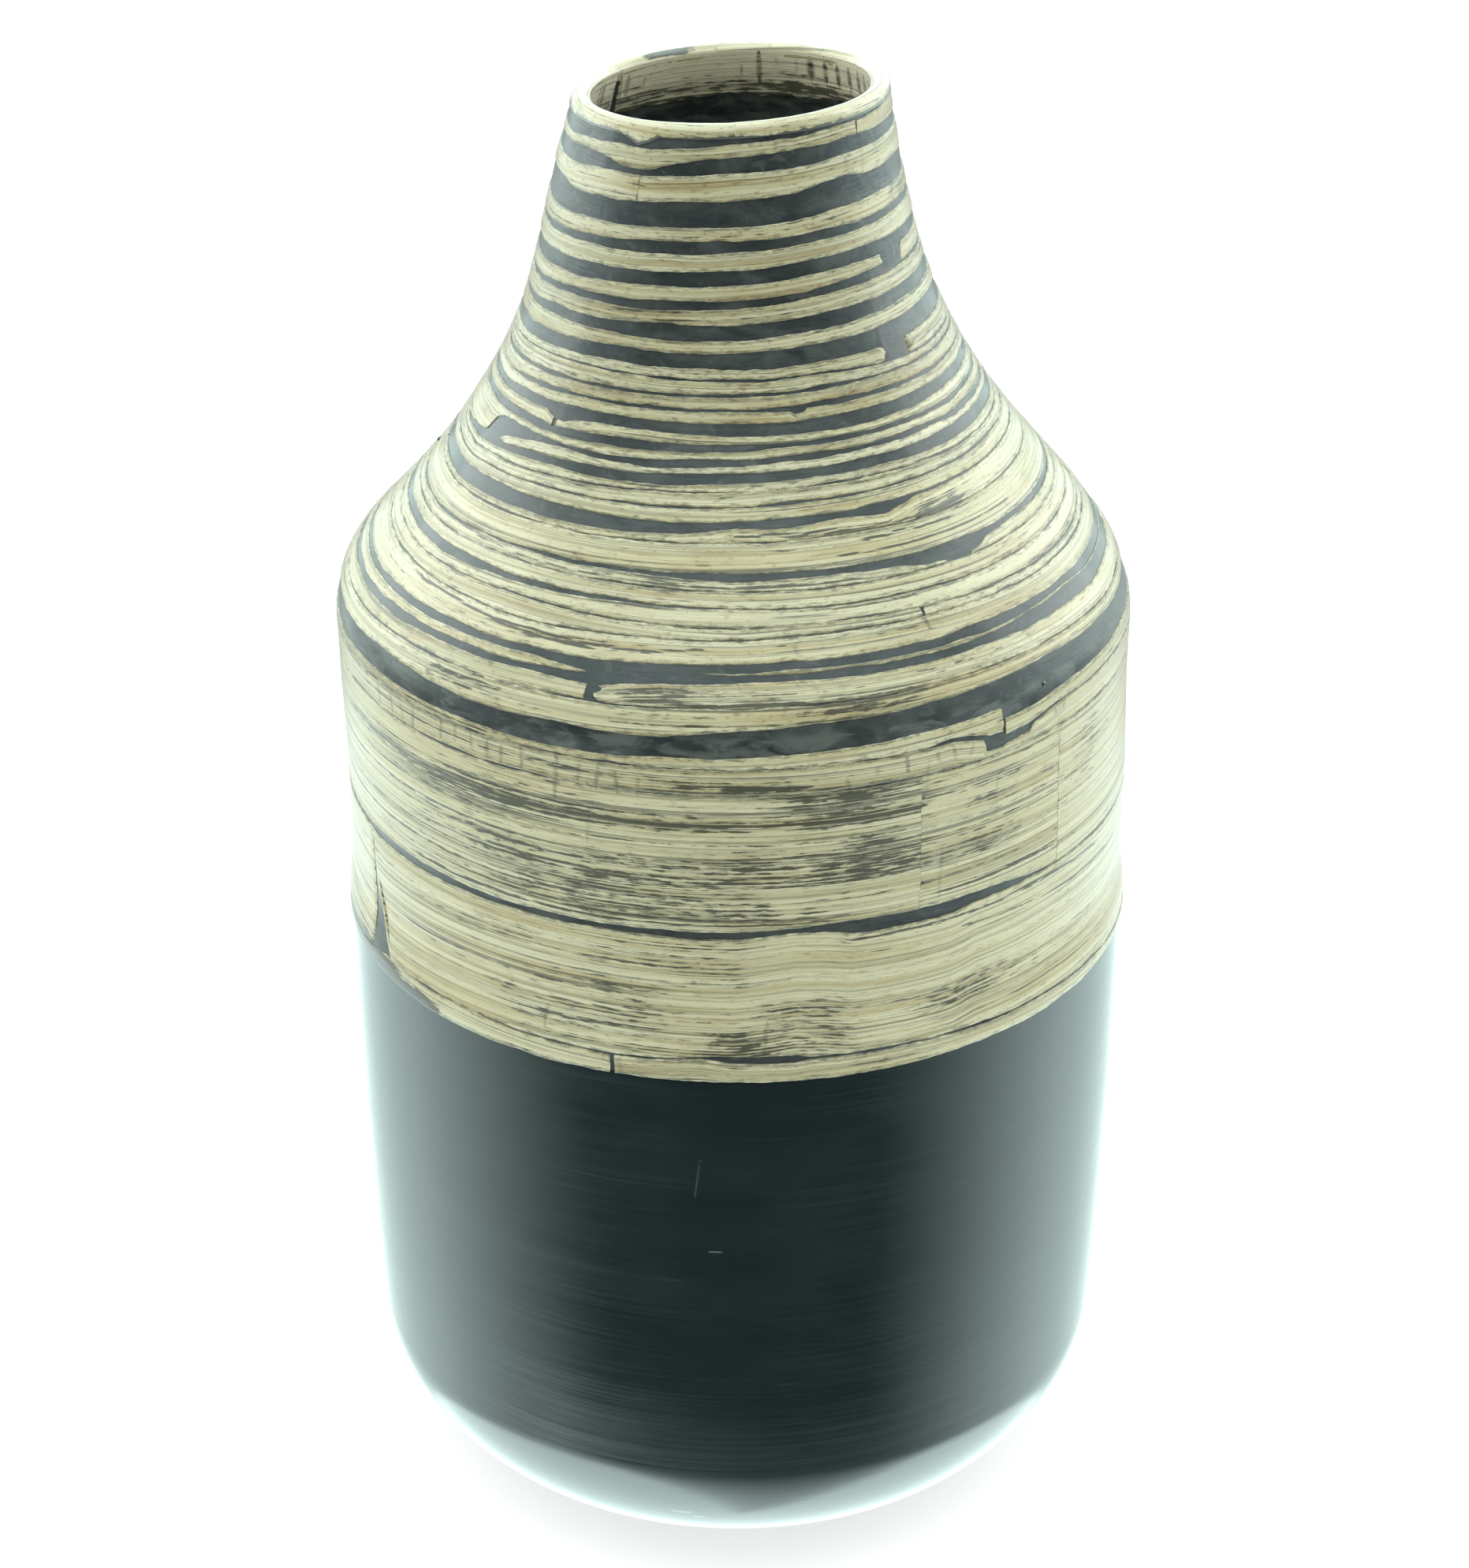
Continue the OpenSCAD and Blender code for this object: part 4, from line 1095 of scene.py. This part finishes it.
def black_body():
    """The black bowl: flat foot round its hole, round corner, long curved wall, and its inner face."""
    wall_start = -math.degrees(math.asin((BULGE_H - CORNER_R) / (WALL_ARC_R - CORNER_R)))
    corner = np.radians(np.linspace(-90, wall_start, CORNER_ROWS))
    z_wall = np.linspace(CORNER_R + CORNER_R * math.sin(corner[-1]), LACQUER_H, WALL_ROWS)[1:]
    foot_hole_r = CORNER_X - FOOT_W
    r = np.concatenate([
        foot_hole_r + FOOT_STEPS,
        CORNER_X + CORNER_R * np.cos(corner),
        BODY_R - WALL_ARC_R + np.sqrt(WALL_ARC_R ** 2 - (z_wall - BULGE_H) ** 2),
    ])
    z = np.concatenate([np.zeros_like(FOOT_STEPS), CORNER_R + CORNER_R * np.sin(corner), z_wall])
    dr, dz = np.gradient(r), np.gradient(z)
    length = np.hypot(dr, dz)
    inner_r = (r - dz / length * WALL_T)[::-1]
    inner_z = np.maximum(z + dr / length * WALL_T, 0)[::-1]
    r = np.concatenate([r, inner_r])
    z = np.concatenate([z, inner_z])
    az = (np.arange(BODY_COLUMNS) * 360 / BODY_COLUMNS)[:, None]
    uneven = UNEVEN * np.sin(np.radians(az * 2 + 40)) * np.clip(z / 60, 0, 1)
    faces = flipped(tube_faces(BODY_COLUMNS, len(r), True))
    piece = mesh_piece("black_body", at(az, r + uneven, z), faces, BLACK)
    stand_for("lower_shell")


def ring_share(turn, low, high, soft):
    """1 on a part of the rim's section, in degrees round the lip, and 0 on the band under it."""
    around = soft_box(np.degrees(turn), low, high, soft)
    return np.concatenate([np.zeros(RIM_SIDE_ROWS), around, np.zeros(2)])


def rim_piece():
    """The rounded lip with the pale band under it. It is dark where the lacquer runs up to it, and near-white
    along the top of its front, which is a painted highlight.
    """
    az = (np.arange(RIM_COLUMNS) * 360 / RIM_COLUMNS)[:, None]
    arc = np.radians(az) * RIM_ARC_R
    centre_z = lip_top(az) - LIP_R + wave(arc, 73, 25, 0.06)
    centre_r = neck_core(centre_z) - (WALL_T + LINING_T - STRIP_T) / 2 / math.cos(NECK_A)
    centre_way = (VASE_H - centre_z) / math.cos(NECK_A)
    band = np.maximum(line_at(az, *edge_lines(RIM_BAND)), centre_way + RIM_LEAST)
    low = band + RIM_UNDER
    side_way = low + (centre_way - low) * np.linspace(0, 1, RIM_SIDE_ROWS)
    turn = np.radians(np.linspace(*RIM_TURN, RIM_RING_ROWS + 1))[1:]
    lip_r = LIP_R * (1 + wave(arc, 74, 6, 0.02) + wave(arc, 75, 1.5, 0.008))
    ring_z = np.minimum(centre_z + lip_r * np.sin(turn), VASE_H - LIP_CLEAR)
    points = np.concatenate([
        on_wall(az, side_way, STRIP_T),
        at(az, centre_r + lip_r * np.cos(turn), ring_z),
        on_wall(az, centre_way + RIM_BACK, -WALL_T - LINING_T),
        on_wall(az, low, UNDER_D),
    ], 1)

    ring_way = centre_way - lip_r * np.sin(turn)
    back = np.zeros((RIM_COLUMNS, 2))
    way = np.concatenate([side_way, ring_way, back - 5], 1)
    inner = np.broadcast_to(turn > RIM_INNER_A, ring_way.shape)
    inside = np.concatenate([np.zeros_like(side_way), inner, np.ones_like(az), np.zeros_like(az)], 1)
    limit = band + wave(arc, 71, 2.2, 0.25) + wave(arc, 72, 0.8, 0.12)
    dark = np.clip((way - limit) / 0.25 + 0.5, 0, 1) * (1 - inside)
    patch = soft_box(round_az(az, 0) + wave(arc, 78, 1.5, 1.2), *RIM_PATCH) * ring_share(turn, 104, 140, 16)
    # A painted highlight: near-white along the top of the lip, round the front only, and not on the dark
    # patch
    painted_highlight = (0.4 + wave(arc, 76, 7, 0.12) + wave(arc, 77, 2, 0.08)) * ring_share(turn, 100, 165, 14)
    painted_highlight = painted_highlight * soft_box(round_az(az, -180), -115, 115, 25)
    dark = np.maximum(dark, RIM_DARK * patch) - painted_highlight * (1 - patch)
    across = np.concatenate([side_way, centre_way - lip_r * (turn - 0.2), back], 1)
    piece = mesh_piece(
        "rim_bamboo", points, tube_faces(RIM_COLUMNS, points.shape[1], True), RIM_BAMBOO,
        wrap=wrap_of(arc, across, 3.1), dark=dark,
        edge=np.where(inside > 0, NO_EDGE, np.clip(limit - way, 0, NO_EDGE)),
    )
    stand_for("rim_ring")


def lining_piece():
    """The bamboo strip inside the mouth, with its open joint and kink marks."""
    az = np.linspace(LINING_GAP[1], LINING_GAP[0] + 360, LINING_COLUMNS)[:, None]
    arc = np.radians(az) * LINING_ARC_R
    u = np.linspace(0, 1, LINING_ROWS)
    down = u * (LINING_H + wave(arc, 81, 9, 0.8) + wave(arc, 82, 2, 0.5))
    z = lip_top(az) - LINING_TOP - down
    bow = np.zeros_like(z)
    for side, sign in ((0, 1), (-1, -1)):
        reach = np.clip(1 - np.abs(arc - arc[side]) / LINING_BOW_LENGTH, 0, 1)
        bow = bow + sign * reach * (np.sin(np.pi * u) - 1) * LINING_BOW
    face_az = az + np.degrees(bow / LINING_ARC_R)
    grooves = field(arc / 30, down / 0.7, 83, 0.07)
    ends = [-1, 0]
    face = at(face_az, neck_core(z) - (WALL_T + LINING_T) / math.cos(NECK_A) + grooves, z)
    back_r = neck_core(z[:, ends]) - (WALL_T - LINING_SUNK) / math.cos(NECK_A)
    points = np.concatenate([face, at(face_az[:, ends], back_r, z[:, ends])], 1)

    dark = 0.1 * soft_box(down, 6.5, 16, 2) + 0.1 * soft_box(down, 9.5, 16, 2.5)
    dark = dark + 0.06 * soft_box(face_az, 180, 262, 12)
    kink = np.zeros_like(z)
    for a, d0, d1, half, strength in LINING_KINKS:
        across = np.abs(np.radians(round_az(face_az - a, -180)) * LINING_ARC_R)
        share = (down - (d0 + d1) / 2) / ((d1 - d0) / 2 + 0.3)
        lens = 1.7 * half * np.sqrt(np.clip(1 - share ** 2, 0, 1))
        kink = np.maximum(kink, strength * np.clip(1.5 - across / np.maximum(lens, 0.02), 0, 1))
    back = np.zeros((LINING_COLUMNS, 2))
    piece = mesh_piece(
        "lining_bamboo", points, flipped(tube_faces(LINING_COLUMNS, points.shape[1], False)), LINING_BAMBOO,
        wrap=wrap_of(arc, np.concatenate([down, down[:, ends]], 1), 7.3),
        dark=np.concatenate([dark, back + 1], 1),
        edge=np.concatenate([np.full_like(z, NO_EDGE), back], 1),
        kink=np.concatenate([kink, back], 1),
    )
    stand_for("mouth_lining")


def drop_piece(name, az, read, radius, height):
    """A small dark drop: the head of a pin, or a bead of lacquer."""
    way = way_of(read)
    t = np.linspace(0, 2 * np.pi, DROP_SIDES, endpoint=False)
    core_r = wall(way)[0]
    rings = [
        (radius, -DROP_SUNK), (radius, height * 0.3), (radius * 0.75, height * 0.8), (radius * 0.35, height),
    ]
    points = np.stack([
        on_wall(az + np.degrees(r * np.cos(t) / core_r), way + r * np.sin(t), GROUND_D + d) for r, d in rings
    ])
    mesh_piece(name, points, tube_faces(len(rings), DROP_SIDES, False), BLACK)


# The strips, one after another from the lip down
for index, (node, spec) in enumerate(STRIPS.items()):
    material = BAMBOO[node.split("_")[0]]
    strip_piece(node, spec, FIRST_SEED + index * SEED_STEP, material)

# The wide panels of the belly
panel_piece("belly_panel_01", -160, 25.6, UPPER_TOP, PANEL_LOW, 401)
panel_piece("belly_panel_02", 25.6, 51, UPPER_TOP, PANEL_LOW, 402, lift=0.02)
panel_piece("belly_panel_03", 51, 200, UPPER_TOP, PANEL_LOW, 403)
panel_piece("belly_panel_04", -64.8, 110, LOWER_PANEL_TOP, LOWER_PANEL_END, 404, start_shape=SEAM_SHAPE)
panel_piece("belly_panel_05", 110, 295.14, LOWER_PANEL_TOP, LOWER_PANEL_END, 405, torn_end=0.5)

# The lacquered core, the body, the mouth and the drops of lacquer
neck_top = (VASE_H - lip_top(SHELL_AZ) + LIP_R) / math.cos(NECK_A) + NECK_CLEAR
shell_piece("lacquer_shoulder", "shoulder_shell", NECK_END, WOUND_L - BODY_GAP, 170)
shell_piece("lacquer_neck", "neck_shell", neck_top, NECK_END, 60)
black_body()
rim_piece()
lining_piece()
drop_piece("pin_head", 47.5, 157.5, 0.75, 0.38)
drop_piece("lacquer_bead", -97, 117, 0.8, 0.9)

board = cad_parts["base_disc"]
board.data.materials.clear()
board.data.materials.append(BOARD)


# Floor, light and camera. The light is a little green. Reflections look through the floor at the
# world, which is dark on the camera's side, bright at the sides and from above, and bright again far
# down. Low reflections, as in views from further down, meet a dim band with four soft windows.
MINT_LIGHT = (0.93, 1.0, 0.97, 1.0)
MINT_GLOSS = (0.8, 1.0, 0.97, 1.0)
WHITE = (1.0, 1.0, 1.0, 1.0)
FLOOR_SIZE = 2.5
FLOOR_GREY = (0.8, 0.8, 0.8, 1.0)
FLOOR_SHADE = (0.5, 0.5, 0.5, 1.0)
FLOOR_GLOW = 0.72

# Light on matt surfaces by angle from the camera's side, in radians: from, to, and the strength at each
MATT_ROUND = (0.55, 1.3, 0.43, 1.47)
MATT_ABOVE = 0.66
# Heights, as the z of a direction, between which the light from above comes in
ABOVE = (0.25, 0.75)
# What glossy surfaces reflect at the sides, by angle from the camera's side
GLOSS_SIDES = (0.66, 2.1, 0.0, 1.7)
# The bright part far down: the angle that it is lowest at, its start and softness by angle, strength
LOW_TURN = 0.28
LOW_START = (0.9, 1.5, -0.693, -0.662)
LOW_SOFT = (0.0, 1.1, 0.5, 0.06)
LOW_GLOSS = 3.1
# The dim band: its lower and upper edge, its own strength, and its windows
BAND_LOWER = (-0.475, -0.425)
BAND_UPPER = (-0.1, -0.2)
BAND_GLOSS = 0.12
WINDOW_TURN = 2.0
WINDOW_EDGE = 5.0
WINDOW_GLOSS = 0.75

# The photograph's size, middle column and focal length in pixels
PHOTO_W = 1863
PHOTO_H = 1988
PHOTO_MIDDLE = 933.5
PHOTO_FOCAL = 4397.3
# Where the camera stands, in metres, and how far it looks down
CAMERA_AWAY = 0.8604
CAMERA_H = 0.6477
CAMERA_PITCH = math.radians(27.52)
SENSOR = 36.0

# Each lamp looks at the middle of the vase. Their sizes in metres and their power in watts
LAMP_AIM = Vector((0, 0, 0.2))
SIDE_LAMP = 1.2
TOP_LAMP = 1.4
LAMP_POWER = 5


def floor_material():
    """A pale floor, white where the camera sees it, but for the vase's soft shadow."""
    material = bpy.data.materials.new("floor")
    n = Nodes(material)
    light = n.add("ShaderNodeLightPath")
    matt = n.put_all(n.add("ShaderNodeBsdfDiffuse"), {"Color": FLOOR_GREY})
    glow = n.put_all(n.add("ShaderNodeEmission"), {"Strength": FLOOR_GLOW})
    shaded = n.put_all(n.add("ShaderNodeBsdfDiffuse"), {"Color": FLOOR_SHADE})
    seen = n.put_all(n.add("ShaderNodeAddShader"), {0: glow.outputs[0], 1: shaded.outputs[0]})
    clear = n.add("ShaderNodeBsdfTransparent")
    plain = n.mix_shaders(light.outputs["Is Camera Ray"], matt.outputs[0], seen.outputs[0])
    n.put(n.out.inputs["Surface"], n.mix_shaders(light.outputs["Is Glossy Ray"], plain, clear.outputs[0]))
    return material


def make_floor():
    corners = [(-1, -1), (1, -1), (1, 1), (-1, 1)]
    mesh = bpy.data.meshes.new("floor")
    mesh.from_pydata([(x * FLOOR_SIZE, y * FLOOR_SIZE, 0) for x, y in corners], [], [(0, 1, 2, 3)])
    mesh.materials.append(floor_material())
    floor = bpy.data.objects.new("floor", mesh)
    bpy.context.scene.collection.objects.link(floor)


def make_world():
    """White where the camera sees it, with one light for matt surfaces and another for reflections."""
    world = bpy.data.worlds.new("studio")
    bpy.context.scene.world = world
    n = Nodes(world, "ShaderNodeOutputWorld")
    light = n.add("ShaderNodeLightPath")
    x, y, high = n.split(n.add("ShaderNodeTexCoord").outputs["Generated"])
    turn = n.math("ARCTAN2", x, n.math("MULTIPLY", y, -1.0))
    flat = n.math("ABSOLUTE", turn)
    above = n.ramp(high, *ABOVE)
    matt = n.math("MAXIMUM", n.ramp(flat, *MATT_ROUND), n.math("MULTIPLY", above, MATT_ABOVE))

    aside = n.math("ABSOLUTE", n.math("SUBTRACT", turn, LOW_TURN))
    below = n.math("SUBTRACT", n.ramp(aside, *LOW_START), high)
    low = n.math("DIVIDE", below, n.ramp(aside, *LOW_SOFT), clamp=True)
    bright = n.math("MAXIMUM", n.ramp(flat, *GLOSS_SIDES), above)
    bright = n.math("MAXIMUM", bright, n.math("MULTIPLY", low, LOW_GLOSS))
    waves = n.math("ABSOLUTE", n.math("SINE", n.math("MULTIPLY", turn, WINDOW_TURN)))
    windows = n.total((n.math("POWER", waves, WINDOW_EDGE), WINDOW_GLOSS), plus=BAND_GLOSS)
    band = n.math("MINIMUM", n.ramp(high, *BAND_LOWER), n.ramp(high, *BAND_UPPER))
    gloss = n.blend(band, bright, windows)

    strength = n.blend(light.outputs["Is Glossy Ray"], matt, gloss)
    strength = n.blend(light.outputs["Is Camera Ray"], strength, 1.0)
    tint = n.mix(light.outputs["Is Glossy Ray"], MINT_LIGHT, MINT_GLOSS)
    tint = n.mix(light.outputs["Is Camera Ray"], tint, WHITE)
    back = n.put_all(n.add("ShaderNodeBackground"), {"Strength": strength, "Color": tint})
    n.put(n.out.inputs["Surface"], back.outputs[0])


def soft_light(name, place, size):
    """A square lamp that looks at the vase."""
    lamp = bpy.data.lights.new(name, "AREA")
    lamp.shape = "SQUARE"
    lamp.size = size
    lamp.energy = LAMP_POWER
    holder = bpy.data.objects.new(name, lamp)
    bpy.context.scene.collection.objects.link(holder)
    holder.location = place
    holder.rotation_mode = "QUATERNION"
    holder.rotation_quaternion = (LAMP_AIM - Vector(place)).to_track_quat("-Z", "Y")


def make_camera():
    """The photograph's viewpoint."""
    lens = bpy.data.cameras.new("camera")
    lens.sensor_fit = "AUTO"
    lens.sensor_width = SENSOR
    lens.lens = PHOTO_FOCAL / PHOTO_H * SENSOR
    lens.shift_x = (PHOTO_W / 2 - PHOTO_MIDDLE) / PHOTO_H
    lens.clip_start = 0.01
    lens.clip_end = 50
    camera = bpy.data.objects.new("camera", lens)
    bpy.context.scene.collection.objects.link(camera)
    camera.location = (0, -CAMERA_AWAY, CAMERA_H)
    camera.rotation_euler = (math.pi / 2 - CAMERA_PITCH, 0, 0)
    bpy.context.scene.camera = camera


make_floor()
make_world()
soft_light("left_light", (-1.3, 0.5, 0.9), SIDE_LAMP)
soft_light("right_light", (1.3, 0.5, 0.9), SIDE_LAMP)
soft_light("top_light", (0.0, -0.2, 1.7), TOP_LAMP)
make_camera()
bpy.context.scene.view_settings.view_transform = "Standard"
